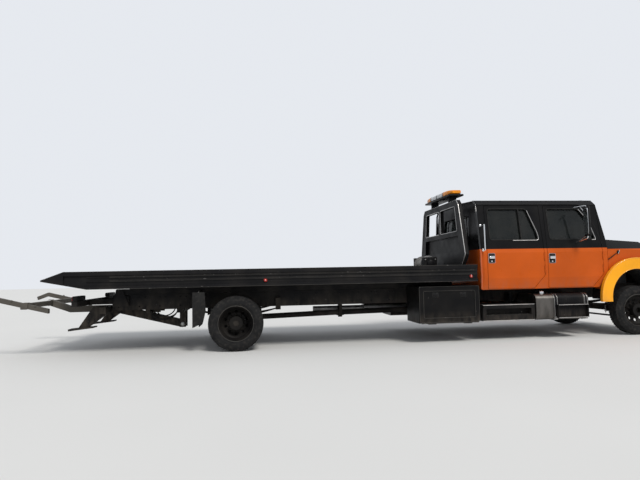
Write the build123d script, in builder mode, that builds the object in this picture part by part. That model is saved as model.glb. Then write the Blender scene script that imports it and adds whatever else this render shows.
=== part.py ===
"""Rollback tow truck with a crew cab, as separate pieces, in millimetres.

+X points to the front of the truck, +Y to its left side and +Z up. The origin lies on the ground
in the middle of the truck's length, lifting forks included, and of its width.
"""
from build123d import *
import math
import os

os.makedirs("parts", exist_ok=True)

# Main lengths along the truck
wheelbase = 6580.0
front_overhang = 740.0
tail_overhang = 2680.0
fork_overhang = 900.0
bumper_x = (front_overhang + wheelbase + tail_overhang + fork_overhang) / 2
front_x = bumper_x - front_overhang
rear_x = front_x - wheelbase
tail_x = rear_x - tail_overhang

# Clearances, and how far joined plates run into each other
fit_gap = 0.3
eye_gap = 1.0
panel_gap = 6.0
hood_gap = 12.0
weld = 2.0
past = 50.0

# Chassis rails, open channels that face inwards
rail_outer_y = 432.0
rail_width = 82.0
rail_wall = 10.0
rail_bottom_z = 600.0
rail_top_z = 840.0
rail_rear_x = tail_x + 760.0
rail_front_x = bumper_x - 130.0
rail_inner_y = rail_outer_y - rail_width
web_inner_y = rail_outer_y - rail_wall + weld / 2

# Wheels and tyres
tyre_radius = 405.0
tyre_width = 225.0
tyre_shoulder = 38.0
tyre_bead_in = 24.0
tyre_bulge = 50.0
rim_radius = 262.0
rim_well = 226.0
rim_wall = 12.0
rim_flange_in = 16.0
rim_well_half = 50.0
disc_flat_radius = 150.0
disc_offset = 30.0
rear_tyre_outer_y = 1190.0
twin_spacing = 255.0
front_tyre_outer_y = 1060.0
hub_z = tyre_radius
hub_radius = 100.0
spindle_radius = 45.0
hand_hole_radius = 22.0
hand_hole_ring = 165.0
hand_holes = 10

# Axles and steering
kingpin_y = 815.0
kingpin_radius = 22.0
axle_beam_half = 42.0
rear_tube_radius = 65.0
diff_radius = 185.0
pinion_length = 300.0
pinion_radius = 80.0
brake_drum_radius = 170.0
brake_drum_half = 30.0
steer_arm = 150.0
steer_arm_half = 25.0
tie_rod_radius = 15.0
spring_width = 80.0
spring_leaf = 14.0
spring_half_length = 620.0
rear_spring_y = 500.0

# Cab
cab_front_x = front_x - 460.0
cab_rear_x = cab_front_x - 2240.0
cab_half = 1005.0
cab_belt_half = cab_half - 15.0
cab_roof_half = cab_half - 135.0
cab_bottom_z = 800.0
cab_floor_z = 905.0
cab_tunnel_half = 470.0
cab_tunnel_z = 866.0
cab_wall = 60.0
corner_out = 10.0
door_depth = 160.0
belt_z = 1450.0
cab_eave_z = 2190.0
cab_roof_z = 2320.0
door_top_z = 2170.0
door_bottom_z = 812.0
door_bevel = 12.5
rear_door_x = (cab_rear_x + 124.0, cab_rear_x + 1106.0)
front_door_x = (rear_door_x[1] + 61.0, cab_front_x - 94.0)
door_corner = (189.0, 215.0)
window_sill_z = 1600.0
window_top_z = 2120.0
window_rear_edge = 75.0
window_round = 45.0
window_fronts = {
    # how far behind the door's front edge, height
    "rear": ((72.0, window_sill_z), (85.0, 1700.0), (225.0, window_top_z)),
    "front": ((95.0, window_sill_z), (191.0, 1921.0), (330.0, window_top_z)),
}
glass = 6.0

# Hinges of the doors
hinge_pin_radius = 6.0
hinge_eye_radius = 12.0
hinge_eye_height = 60.0
hinge_leaf = 40.0
hinge_leaf_thick = 9.0
hinge_heights = (1110.0, 1320.0)

# Bed: tilt frame, deck and its sides
tilt_hinge_x = tail_x + 860.0
tilt_hinge_z = 890.0
tilt_pin_radius = 22.0
tilt_rail_y = 390.0
tilt_rail_width = 80.0
tilt_bottom_z = 845.0
tilt_top_z = 930.0
wear_pad = 5.0
sill_top_z = 1000.0
floor_z = 1080.0
floor_sheet = 8.0
winch_bed = 6.0
deck_front_x = cab_rear_x - 152.0
deck_edge_x = tail_x + 300.0
sill_rear_x = tail_x + 580.0
winch_bed_x = deck_front_x - 640.0
tilt_front_x = deck_front_x - 128.0
side_outer_y = 1220.0
side_channel = 30.0
side_wall = 6.0
side_bottom_z = 950.0
side_top_z = 1203.0
side_taper_x = tail_x + 610.0
side_ridge_z = (1064.0, 1122.0)
side_ridge_half = 8.0
marker_lamps_at = (
    # x, height
    (rear_x + 438.0, 1030.0),
    (deck_front_x - 106.0, 1024.0),
)
cross_pitch = 600.0
cross_width = 60.0

# Cylinders: the tilt pair and the one of the wheel lift
tilt_base = (rear_x - 1280.0, 655.0)
tilt_eye = (rear_x + 20.0, 885.0)
tilt_cylinder_y = 250.0
tilt_barrel_radius = 48.0
tilt_barrel_length = 1040.0
tilt_rod_radius = 27.0
lift_base = (rear_x - 950.0, 660.0)
lift_eye = (rear_x - 1760.0, 705.0)
lift_barrel_radius = 38.0
lift_barrel_length = 560.0
lift_rod_radius = 22.0
barrel_floor = 90.0
barrel_cap = 20.0
eye_radius = 42.0
eye_width = 56.0

# Wheel lift under the tail
lift_pivot = (rear_x - 900.0, 332.0)
lift_cross = (rear_x - 2010.0, 618.0)
lift_foot = (rear_x - 2320.0, 350.0)
lift_boom = 120.0
lift_boom_half = 60.0
lift_leg_y = 550.0
lift_leg_half = 50.0
lift_pad_half = 90.0
lift_tube = 50.0
lift_fork_y = 640.0
lift_end = 30.0
fork_pin_radius = 12.5
fork_bar = (tail_x - 300.0, 730.0)
fork_bar_half = 36.0
fork_boom_half = 50.0
fork_arm_y = 950.0
fork_arm_half = 32.0

# Headboard, light bar and winch
headboard_x = deck_front_x - 118.0
headboard_depth = 60.0
headboard_post = 30.0
headboard_top_z = 2290.0
light_bar_half = 620.0
light_bar_z = (2385.0, 2500.0)
light_bar_depth = 280.0
light_bar_slope = 50.0
winch_x = deck_front_x - 420.0
winch_z = 1250.0
winch_half = 150.0
winch_housing = 102.0
drum_radius = 80.0
drum_flange_radius = 140.0
drum_flange = 12.0
drum_half = 170.0
drum_shaft = 25.0

# Hood and fenders
hood_half = cab_half - 20.0
hood_nose_half = cab_half - 115.0
hood_rear_x = cab_front_x + hood_gap
hood_front_x = bumper_x - 85.0
hood_hinge_x = bumper_x - 140.0
hood_hinge_z = 750.0
hood_skin = 22.0
hood_nose_bottom_z = 765.0
fender_bottom_z = 640.0
hood_ear = 30.0
arch_radius = 470.0
arch_z = 620.0
flare_radius = 655.0
flare_half = cab_half + 73.0
flare_bottom_z = 560.0
flare_inner = cab_half + hinge_eye_radius + panel_gap
liner_inner_y = 620.0
grille_half = 430.0
grille_z = (880.0, 1300.0)
grille_rim = 24.0
grille_bar = 22.0
grille_bars = 7
lamp_y = (580.0, 800.0)
lamp_z = (1020.0, 1190.0)

# Bumper, tanks, steps, boxes and flaps
bumper_half = flare_half - 18.0
bumper_z = (440.0, 690.0)
bumper_depth = 72.0
bumper_wall = 8.0
bumper_roll = 12.0
tank_x = (front_x - 1840.0, front_x - 930.0)
tank_y = (520.0, 1100.0)
tank_z = (300.0, 710.0)
tank_round = 90.0
strap_width = 50.0
strap_thick = 6.0
strap_in = (340.0, 45.0)
step_box_z = (330.0, 540.0)
step_box_out = 70.0
step_x = (cab_rear_x - 30.0, tank_x[0] - 10.0)
step_y = (560.0, 1080.0)
step_z = (310.0, 560.0)
box_x = (deck_front_x - 938.0, deck_front_x + 42.0)
box_y = (520.0, 1150.0)
box_z = (310.0, 880.0)
box_wall = 20.0
box_door = 24.0
flap_x = rear_x - 520.0
flap_thick = 10.0
flap_y = (700.0, 1180.0)
flap_z = (375.0, 900.0)

RIGHT = -1
LEFT = 1
SIDES = (("right", RIGHT), ("left", LEFT))


def block(x, y, z, mode=Mode.ADD):
    """A box between the two values of each pair x, y and z."""
    with Locations(((x[0] + x[1]) / 2, (y[0] + y[1]) / 2, (z[0] + z[1]) / 2)):
        Box(abs(x[1] - x[0]), abs(y[1] - y[0]), abs(z[1] - z[0]), mode=mode)


def around(middle, half):
    """The pair of values a half width on either side of a middle."""
    return (middle - half, middle + half)


def on_side(side, near, far):
    """The pair of y values between two distances from the truck's middle, on one side."""
    return (side * near, side * far)


def rod(start, end, radius, mode=Mode.ADD):
    """A round bar between two points."""
    start = Vector(*start)
    along = Vector(*end) - start
    with Locations(Plane(origin=start + along / 2, z_dir=along)):
        Cylinder(radius, along.length, mode=mode)


def cross_rod(place, y, radius, mode=Mode.ADD):
    """A round bar across the truck at an (x, z) place, between the two values of y."""
    rod((place[0], y[0], place[1]), (place[0], y[1], place[1]), radius, mode)


def prism(plane, outline, length, mode=Mode.ADD, radius=0.0):
    """A closed outline of points on a plane, carried along its normal, with its corners rounded."""
    with BuildSketch(plane) as face:
        with BuildLine():
            Polyline(*outline, close=True)
        make_face()
        if radius:
            fillet(face.vertices(), radius)
    extrude(face.sketch, amount=length, mode=mode)


def side_prism(outline, y, mode=Mode.ADD, radius=0.0):
    """A side-view outline of (x, z) points, carried across from y[0] to y[1]."""
    prism(Plane.XZ.offset(-max(y)), outline, abs(y[1] - y[0]), mode, radius)


def front_prism(outline, x, mode=Mode.ADD, radius=0.0):
    """A front-view outline of (y, z) points, carried along from x[0] to x[1]."""
    prism(Plane.YZ.offset(min(x)), outline, abs(x[1] - x[0]), mode, radius)


def plan_prism(outline, z, mode=Mode.ADD, radius=0.0):
    """A plan-view outline of (x, y) points, carried up from z[0] to z[1]."""
    prism(Plane.XY.offset(min(z)), outline, abs(z[1] - z[0]), mode, radius)


def shifted(outline, place):
    """An outline of offsets, moved to an (x, z) place."""
    return [(place[0] + across, place[1] + up) for across, up in outline]


def both_sides():
    """Mirrors what the open part holds to the other side of the truck."""
    mirror(about=Plane.XZ)


def mirrored(half, side):
    """The right-hand solid as it is, or its mirror image for the left side."""
    return half if side == RIGHT else mirror(half, about=Plane.XZ)


def save(name, solid):
    """Labels one finished piece and writes its file."""
    solid.label = name
    export_step(solid, f"parts/{name}.step")


# Chassis: two channel rails, cross members, lugs and the rear lamp bar
member_half = 30.0
member_z = (rail_bottom_z + 5.0, rail_bottom_z + 95.0)
rear_member_z = (rail_top_z - 88.0, rail_top_z - 5.0)
hanger_z = (rail_bottom_z - 60.0, rail_bottom_z + rail_wall)
bearing_x = rear_x + 1744.0
cross_members = (
    # x, lowest and highest z
    (rail_rear_x + 60.0, rear_member_z),
    (rear_x - 640.0, member_z),
    (bearing_x, member_z),
    (cab_rear_x - 880.0, member_z),
    (rail_front_x - 60.0, member_z),
)
plate_thick = 20.0
tilt_lug_y = tilt_rail_y + tilt_rail_width + weld
tilt_hinge = (tilt_hinge_x, tilt_hinge_z)
tilt_lug = ((-90.0, -230.0), (160.0, -230.0), (60.0, 36.0), (-40.0, 36.0))
tilt_lug_foot = (-80.0, 150.0)
saddle_x = (tilt_front_x - 300.0, tilt_front_x - 100.0)
lamp_bar_x = around(tail_x + 380.0, 40.0)
lamp_bar_z = (rail_bottom_z + 100.0, rail_bottom_z + 180.0)
lamp_bar_half = 1000.0
base_plate_x = (tilt_base[0] - 150.0, tilt_base[0] + 40.0)
base_foot_x = (tilt_base[0] - 150.0, tilt_base[0] - 80.0)
base_plate_y = tilt_cylinder_y - tilt_barrel_radius - panel_gap
eye_clear = 40.0
pivot_half = 50.0
pivot_plate_y = (lift_boom_half + 25.0, lift_boom_half + 25.0 + plate_thick)
lift_plate_y = (eye_width / 2 + 14.0, eye_width / 2 + 14.0 + plate_thick)
hood_bracket_x = (hood_hinge_x - 30.0, hood_hinge_x + 10.0)
hood_pin_half = rail_outer_y + 60.0

with BuildPart() as chassis_frame:
    front_prism(
        [
            (rail_outer_y, rail_bottom_z),
            (rail_inner_y, rail_bottom_z),
            (rail_inner_y, rail_bottom_z + rail_wall),
            (rail_outer_y - rail_wall, rail_bottom_z + rail_wall),
            (rail_outer_y - rail_wall, rail_top_z - rail_wall),
            (rail_inner_y, rail_top_z - rail_wall),
            (rail_inner_y, rail_top_z),
            (rail_outer_y, rail_top_z),
        ],
        (rail_rear_x, rail_front_x),
    )
    side_prism(shifted(tilt_lug, tilt_hinge), (tilt_lug_y, tilt_lug_y + plate_thick))
    block((tilt_hinge_x + tilt_lug_foot[0], tilt_hinge_x + tilt_lug_foot[1]),
          (rail_outer_y - weld, tilt_lug_y + weld), (rail_bottom_z + 70.0, rail_top_z - 20.0))
    cross_rod(tilt_hinge, (tilt_lug_y + weld, tilt_rail_y - plate_thick), tilt_pin_radius)
    block(saddle_x, (rail_outer_y - rail_width / 2, rail_outer_y),
          (rail_top_z - weld, tilt_bottom_z - fit_gap))
    block((lamp_bar_x[0], rail_rear_x + eye_clear), (rail_outer_y - eye_clear, rail_outer_y), lamp_bar_z)
    cross_rod(tilt_base, (web_inner_y, base_plate_y), tilt_pin_radius)
    block(base_plate_x, (base_plate_y - plate_thick, base_plate_y), (hanger_z[0], tilt_base[1] + eye_clear))
    block(base_foot_x, (base_plate_y - plate_thick, web_inner_y), hanger_z)
    block(around(lift_pivot[0], pivot_half), pivot_plate_y, (lift_pivot[1] - pivot_half, hanger_z[1]))
    block(around(lift_base[0], pivot_half), lift_plate_y, (hanger_z[1] - weld, lift_base[1] + eye_clear))
    block(hood_bracket_x, (rail_inner_y, rail_outer_y), (member_z[0], rail_top_z - 5.0))
    both_sides()
    for x, z in cross_members:
        block(around(x, member_half), around(0.0, web_inner_y), z)
    block(lamp_bar_x, around(0.0, lamp_bar_half), lamp_bar_z)
    block(around(lift_pivot[0], pivot_half), around(0.0, web_inner_y), hanger_z)
    cross_rod(lift_pivot, around(0.0, pivot_plate_y[0] + weld), tilt_pin_radius)
    cross_rod(lift_base, around(0.0, lift_plate_y[0] + weld), tilt_pin_radius)
    cross_rod((hood_hinge_x, hood_hinge_z), around(0.0, hood_pin_half), kingpin_radius)
save("chassis_frame", chassis_frame.part)


# Springs: leaf packs under the rails in front, outside them at the rear
hanger_length = 80.0
hanger_lap = 10.0


def spring_pack(x, y, seat_z, eye_z):
    """One arched leaf pack on the axle's seat, with its two end hangers."""
    half = spring_half_length
    across = around(y, spring_width / 2)
    with BuildSketch(Plane.XZ.offset(-across[1])) as leaf:
        with BuildLine():
            upper = ThreePointArc((x - half, eye_z), (x, seat_z + 3 * spring_leaf), (x + half, eye_z))
            lower = ThreePointArc((x - half, eye_z - spring_leaf), (x, seat_z),
                                  (x + half, eye_z - spring_leaf))
            Line(upper @ 0, lower @ 0)
            Line(upper @ 1, lower @ 1)
        make_face()
    extrude(leaf.sketch, amount=spring_width)
    for end in (-1, 1):
        start = x + end * (half - hanger_lap)
        block((start, start + end * hanger_length), across, (eye_z - 2 * spring_leaf, rail_bottom_z - fit_gap))


front_seat_z = hub_z + axle_beam_half
rear_seat_z = hub_z + rear_tube_radius
spring_drop = (60.0, 20.0)
hanger_plate_z = (rail_bottom_z - 40.0, rail_bottom_z + 140.0)

with BuildPart() as leaf_springs:
    spring_pack(front_x, rail_outer_y - rail_width / 2, front_seat_z, rail_bottom_z - spring_drop[0])
    spring_pack(rear_x, rear_spring_y, rear_seat_z, rail_bottom_z - spring_drop[1])
    for end in (-1, 1):
        start = rear_x + end * (spring_half_length - hanger_lap)
        block((start, start + end * hanger_length), (rail_outer_y + fit_gap, rear_spring_y + spring_width / 2),
              hanger_plate_z)
    both_sides()
save("leaf_springs", leaf_springs.part)

# Axles
twin_middle_y = rear_tyre_outer_y - tyre_width / 2 - twin_spacing / 2
rear_drum_y = twin_middle_y - 170.0
rear_spindle_end = twin_middle_y + 120.0
axle_seat_half = (90.0, 45.0)
axle_boss_radius = 46.0
axle_boss_half = 50.0
yoke_half = 95.0

with BuildPart() as rear_axle:
    cross_rod((rear_x, hub_z), around(0.0, rear_drum_y), rear_tube_radius - 0.5)
    with Locations((rear_x, 0, hub_z)):
        Sphere(diff_radius)
    rod((rear_x, 0, hub_z), (rear_x + pinion_length, 0, hub_z), pinion_radius)
    for _, side in SIDES:
        cross_rod((rear_x, hub_z), on_side(side, rear_drum_y - weld, rear_spindle_end), spindle_radius)
        cross_rod((rear_x, hub_z), on_side(side, rear_drum_y - brake_drum_half, rear_drum_y),
                  brake_drum_radius)
        block(around(rear_x, axle_seat_half[0]), around(side * rear_spring_y, axle_seat_half[1]),
              (hub_z, rear_seat_z - fit_gap))
save("rear_axle", rear_axle.part)

with BuildPart() as front_axle:
    block(around(front_x, axle_beam_half), around(0.0, kingpin_y - plate_thick),
          (hub_z - axle_beam_half, hub_z + axle_beam_half - fit_gap))
    for _, side in SIDES:
        pin = (front_x, side * kingpin_y)
        rod((*pin, hub_z - axle_boss_half), (*pin, hub_z + axle_boss_half), axle_boss_radius)
        rod((*pin, hub_z - yoke_half), (*pin, hub_z + yoke_half), kingpin_radius)
save("front_axle", front_axle.part)

# Steering knuckles: a yoke around the axle's end, a spindle and a steering arm
front_hub_y = front_tyre_outer_y - 150.0
front_spindle_end = front_tyre_outer_y - 70.0
yoke_radius = 44.0
yoke_arm = (40.0, 66.0)
yoke_web = (45.0, 56.0, 86.0)
arm_tip = 30.0
arm_thick = 24.0
yoke_ears = (
    (hub_z - yoke_half, hub_z - axle_boss_half - eye_gap),
    (hub_z + axle_boss_half + eye_gap, hub_z + yoke_half),
)
with BuildPart() as knuckle_right:
    for low, high in yoke_ears:
        rod((front_x, -kingpin_y, low), (front_x, -kingpin_y, high), yoke_radius)
        block(around(front_x, yoke_arm[0]), (-kingpin_y, -kingpin_y - yoke_arm[1]), (low, high))
    block(around(front_x, yoke_web[0]), (-kingpin_y - yoke_web[1], -kingpin_y - yoke_web[2]),
          around(hub_z, yoke_half))
    cross_rod((front_x, hub_z), (-kingpin_y - yoke_web[2] + weld, -front_spindle_end), spindle_radius)
    block((front_x - steer_arm - arm_tip, front_x), around(-kingpin_y, steer_arm_half),
          (hub_z - yoke_half, hub_z - yoke_half + arm_thick))
    rod((front_x, -kingpin_y, hub_z - yoke_half - past), (front_x, -kingpin_y, hub_z + yoke_half + past),
        kingpin_radius + fit_gap, Mode.SUBTRACT)
for name, side in SIDES:
    save(f"steering_knuckle_{name}", mirrored(knuckle_right.part, side))

tie_rod_z = hub_z - yoke_half - 19.0
tie_rod_x = front_x - steer_arm
tie_eye_radius = 22.0
with BuildPart() as tie_rod:
    cross_rod((tie_rod_x, tie_rod_z), around(0.0, kingpin_y), tie_rod_radius)
    for _, side in SIDES:
        rod((tie_rod_x, side * kingpin_y, tie_rod_z - tie_rod_radius - eye_gap),
            (tie_rod_x, side * kingpin_y, hub_z - yoke_half - 2 * fit_gap), tie_eye_radius)
save("tie_rod", tie_rod.part)


# Wheels: tyres and rims are turned about the hub line
def turned(x, section):
    """A closed section of (across, radius) points, turned about the hub line at x."""
    with BuildSketch(Plane.YZ.offset(x)) as face:
        with BuildLine():
            Polyline(*[(across, hub_z + up) for across, up in section], close=True)
        make_face()
    revolve(face.sketch, axis=Axis((x, 0, hub_z), (0, 1, 0)))


def tyre(x, y):
    """One tyre, its middle plane at y."""
    half = tyre_width / 2
    tread = tyre_radius - tyre_shoulder
    turned(x, [
        (y - half + tyre_bead_in, rim_radius), (y - half, rim_radius + tyre_bulge), (y - half, tread),
        (y - half + tyre_shoulder, tyre_radius), (y + half - tyre_shoulder, tyre_radius), (y + half, tread),
        (y + half, rim_radius + tyre_bulge), (y + half - tyre_bead_in, rim_radius),
    ])


def rim(x, y, disc_y, edge_y, hub_out):
    """One rim: the barrel under the tyre, a dished disc from disc_y out to edge_y and its hub."""
    half = tyre_width / 2 - rim_flange_in
    sheet = rim_wall / 2
    lap = weld + 1.0
    turned(x, [
        (y - half, rim_radius), (y + half, rim_radius), (y + half, rim_radius - rim_wall),
        (y + rim_well_half, rim_well), (y - rim_well_half, rim_well), (y - half, rim_radius - rim_wall),
    ])
    turned(x, [
        (disc_y - sheet, spindle_radius), (disc_y - sheet, disc_flat_radius), (edge_y - sheet, rim_well + lap),
        (edge_y + sheet, rim_well + lap), (disc_y + sheet, disc_flat_radius), (disc_y + sheet, spindle_radius),
    ])
    cross_rod((x, hub_z), (disc_y, hub_out), hub_radius)


def wheel_holes(x, y):
    """The ring of hand holes through a disc, and the bore for the spindle."""
    cross_rod((x, hub_z), around(y, tyre_radius), spindle_radius + fit_gap, Mode.SUBTRACT)
    with Locations(Plane(origin=(x, y, hub_z), z_dir=(0, 1, 0))):
        with PolarLocations(hand_hole_ring, hand_holes):
            Cylinder(hand_hole_radius, 2 * tyre_radius, mode=Mode.SUBTRACT)


front_mid_y = -(front_tyre_outer_y - tyre_width / 2)
outer_twin_y = -(rear_tyre_outer_y - tyre_width / 2)
inner_twin_y = outer_twin_y + twin_spacing
hub_stands_out = 130.0
disc_dish = 60.0

with BuildPart() as front_tyre:
    tyre(front_x, front_mid_y)
with BuildPart() as front_rim:
    rim(front_x, front_mid_y, -front_hub_y - disc_offset, front_mid_y - disc_offset,
        -front_tyre_outer_y + rim_wall)
    wheel_holes(front_x, -front_hub_y)
with BuildPart() as rear_tyres:
    for y in (outer_twin_y, inner_twin_y):
        tyre(rear_x, y)
with BuildPart() as rear_rims:
    rim(rear_x, outer_twin_y, -twin_middle_y - rim_wall / 2, outer_twin_y + disc_dish,
        -twin_middle_y - hub_stands_out)
    rim(rear_x, inner_twin_y, -twin_middle_y + rim_wall / 2, inner_twin_y - disc_dish,
        -twin_middle_y + disc_offset)
    wheel_holes(rear_x, -twin_middle_y)
for name, side in SIDES:
    save(f"front_tyre_{name}", mirrored(front_tyre.part, side))
    save(f"front_rim_{name}", mirrored(front_rim.part, side))
    save(f"rear_tyres_{name}", mirrored(rear_tyres.part, side))
    save(f"rear_rims_{name}", mirrored(rear_rims.part, side))

# Drive line: one plain engine and gearbox, the radiator and the two-piece shaft
engine_x = (front_x - 440.0, front_x + 420.0)
engine_half = 290.0
engine_z = (hub_z + 240.0, 1330.0)
gearbox_half = 190.0
gearbox_end = (engine_x[0] - 1060.0, 492.0)
gearbox_outline = (
    # x behind the engine's rear face, height
    (10.0, 560.0), (10.0, 790.0), (-860.0, 700.0), (-1060.0, 560.0), (-1060.0, 440.0), (-300.0, 430.0),
)
engine_mounts = (
    # x range, y where it starts, z range
    ((front_x + 250.0, front_x + 330.0), engine_half - 10.0, (700.0, 790.0)),
    ((engine_x[0] - 60.0, engine_x[0] + 20.0), gearbox_half - 10.0, (680.0, 770.0)),
)
with BuildPart() as engine:
    block(engine_x, around(0.0, engine_half), engine_z)
    side_prism([(engine_x[0] + back, z) for back, z in gearbox_outline], around(0.0, gearbox_half))
    for x, y, z in engine_mounts:
        for _, side in SIDES:
            block(x, on_side(side, y, rail_outer_y - rail_wall - fit_gap), z)
save("engine_block", engine.part)

radiator_x = (front_x + 470.0, front_x + 530.0)
radiator_half = 400.0
radiator_top_z = 1380.0
with BuildPart() as radiator:
    block(radiator_x, around(0.0, radiator_half), (rail_top_z + fit_gap, radiator_top_z))
save("radiator", radiator.part)

shaft_radius = 45.0
yoke_step = 8.0
joint_length = 60.0
joint_gap = 20.0
bearing_z = 440.0
bearing_radius = 80.0
bearing_half = 30.0
shaft_rear_x = rear_x + pinion_length
shaft_points = (
    (shaft_rear_x + joint_length, 0, hub_z), (bearing_x - joint_length, 0, bearing_z),
    (bearing_x + joint_length, 0, bearing_z), (gearbox_end[0] - joint_length, 0, gearbox_end[1]),
)
with BuildPart() as driveshaft:
    rod(shaft_points[0], shaft_points[1], shaft_radius)
    rod(shaft_points[1], shaft_points[2], shaft_radius + yoke_step)
    rod(shaft_points[2], shaft_points[3], shaft_radius)
    rod((shaft_rear_x + fit_gap, 0, hub_z), (shaft_rear_x + joint_length + joint_gap, 0, hub_z),
        shaft_radius + yoke_step)
    rod((gearbox_end[0] - joint_length - joint_gap, 0, gearbox_end[1]),
        (gearbox_end[0] - fit_gap, 0, gearbox_end[1]), shaft_radius + yoke_step)
    rod((bearing_x - bearing_half, 0, bearing_z), (bearing_x + bearing_half, 0, bearing_z), bearing_radius)
    for _, side in SIDES:
        block(around(bearing_x, bearing_half - 5.0), on_side(side, shaft_radius + 5.0, bearing_radius + 10.0),
              (bearing_z - 10.0, member_z[0] - fit_gap))
save("driveshaft", driveshaft.part)

exhaust_y = 250.0
exhaust_z = 495.0
muffler_x = (front_x - 4380.0, front_x - 3380.0)
muffler_radius = 100.0
pipe_radius = 45.0
pipe_end_x = front_x - 5280.0
manifold_x = front_x - 800.0
pipe_hanger_x = (muffler_x[0] + 200.0, muffler_x[1] - 80.0)
pipe_hanger_half = (20.0, 15.0)
with BuildPart() as exhaust:
    for start, end, radius in (
        (muffler_x[0], muffler_x[1], muffler_radius),
        (muffler_x[1] - joint_gap, manifold_x, pipe_radius),
        (pipe_end_x, muffler_x[0] + joint_gap, pipe_radius),
    ):
        rod((start, exhaust_y, exhaust_z), (end, exhaust_y, exhaust_z), radius)
    for x in pipe_hanger_x:
        block(around(x, pipe_hanger_half[0]), around(rail_inner_y, pipe_hanger_half[1]),
              (exhaust_z, rail_bottom_z - fit_gap))
save("exhaust", exhaust.part)

# Tilt frame: two rails with wear pads, hinge bores and the lugs of the cylinder eyes
tilt_rail = (tilt_rail_y, tilt_rail_y + tilt_rail_width)
tilt_tail = (36.0, 30.0)
pad_half = 40.0
lug_plate = 16.0
lug_y = (eye_width / 2 + eye_gap, eye_width / 2 + eye_gap + lug_plate)
frame_lug = (50.0, 150.0)
bore_reach = 30.0
frame_lap = 5.0
pads_x = (tilt_hinge_x + 200.0, tilt_eye[0] - 300.0, tilt_eye[0] + 1200.0, tilt_front_x - 100.0)
frame_members_x = (tilt_hinge_x + 260.0, tilt_eye[0] + 130.0, tilt_eye[0] + 1400.0, tilt_front_x - 60.0)
with BuildPart() as tilt_frame:
    side_prism(
        [
            (tilt_hinge_x, tilt_bottom_z), (tilt_front_x, tilt_bottom_z),
            (tilt_front_x, tilt_top_z), (tilt_hinge_x - tilt_tail[0], tilt_top_z),
            (tilt_hinge_x - tilt_tail[0], tilt_bottom_z + tilt_tail[1]),
        ],
        tilt_rail,
    )
    for x in pads_x:
        block(around(x, pad_half), tilt_rail, (tilt_top_z - weld, tilt_top_z + wear_pad - fit_gap))
    for end in (-1, 1):
        block((tilt_eye[0] - frame_lug[0], tilt_eye[0] + frame_lug[1]),
              (tilt_cylinder_y + end * lug_y[0], tilt_cylinder_y + end * lug_y[1]),
              (tilt_eye[1] - eye_clear, tilt_top_z))
    cross_rod(tilt_hinge, (tilt_rail[0] - bore_reach, tilt_rail[1] + bore_reach), tilt_pin_radius + fit_gap,
              Mode.SUBTRACT)
    both_sides()
    for x in frame_members_x:
        block(around(x, member_half), around(0.0, tilt_rail_y + frame_lap),
              (tilt_bottom_z + frame_lap, tilt_top_z - frame_lap))
save("tilt_frame", tilt_frame.part)


# Cylinders: the barrel turns about its base pin, the rod slides out of it
def barrel(base, eye, radius, length, bore, y):
    """A barrel from its base eye towards the rod's eye, bored for the rod."""
    base = Vector(base[0], y, base[1])
    unit = (Vector(eye[0], y, eye[1]) - base).normalized()
    across = around(y, eye_width / 2)
    cross_rod((base.X, base.Z), across, eye_radius)
    rod(base + unit * barrel_cap, base + unit * length, radius)
    rod(base + unit * barrel_floor, base + unit * (length + barrel_cap), bore + fit_gap, Mode.SUBTRACT)
    cross_rod((base.X, base.Z), around(y, eye_width), tilt_pin_radius + fit_gap, Mode.SUBTRACT)


def piston(base, eye, radius, y):
    """A rod from deep inside the barrel to its eye."""
    base = Vector(base[0], y, base[1])
    tip = Vector(eye[0], y, eye[1])
    unit = (tip - base).normalized()
    cross_rod(eye, around(y, eye_width / 2), eye_radius)
    rod(base + unit * (barrel_floor + barrel_cap), tip, radius)


with BuildPart() as tilt_barrels:
    barrel(tilt_base, tilt_eye, tilt_barrel_radius, tilt_barrel_length, tilt_rod_radius, tilt_cylinder_y)
    both_sides()
save("tilt_cylinder_barrels", tilt_barrels.part)
with BuildPart() as tilt_rods:
    piston(tilt_base, tilt_eye, tilt_rod_radius, tilt_cylinder_y)
    both_sides()
save("tilt_cylinder_rods", tilt_rods.part)
with BuildPart() as lift_barrel:
    barrel(lift_base, lift_eye, lift_barrel_radius, lift_barrel_length, lift_rod_radius, 0.0)
save("lift_cylinder_barrel", lift_barrel.part)
with BuildPart() as lift_rod:
    piston(lift_base, lift_eye, lift_rod_radius, 0.0)
save("lift_cylinder_rod", lift_rod.part)

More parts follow.
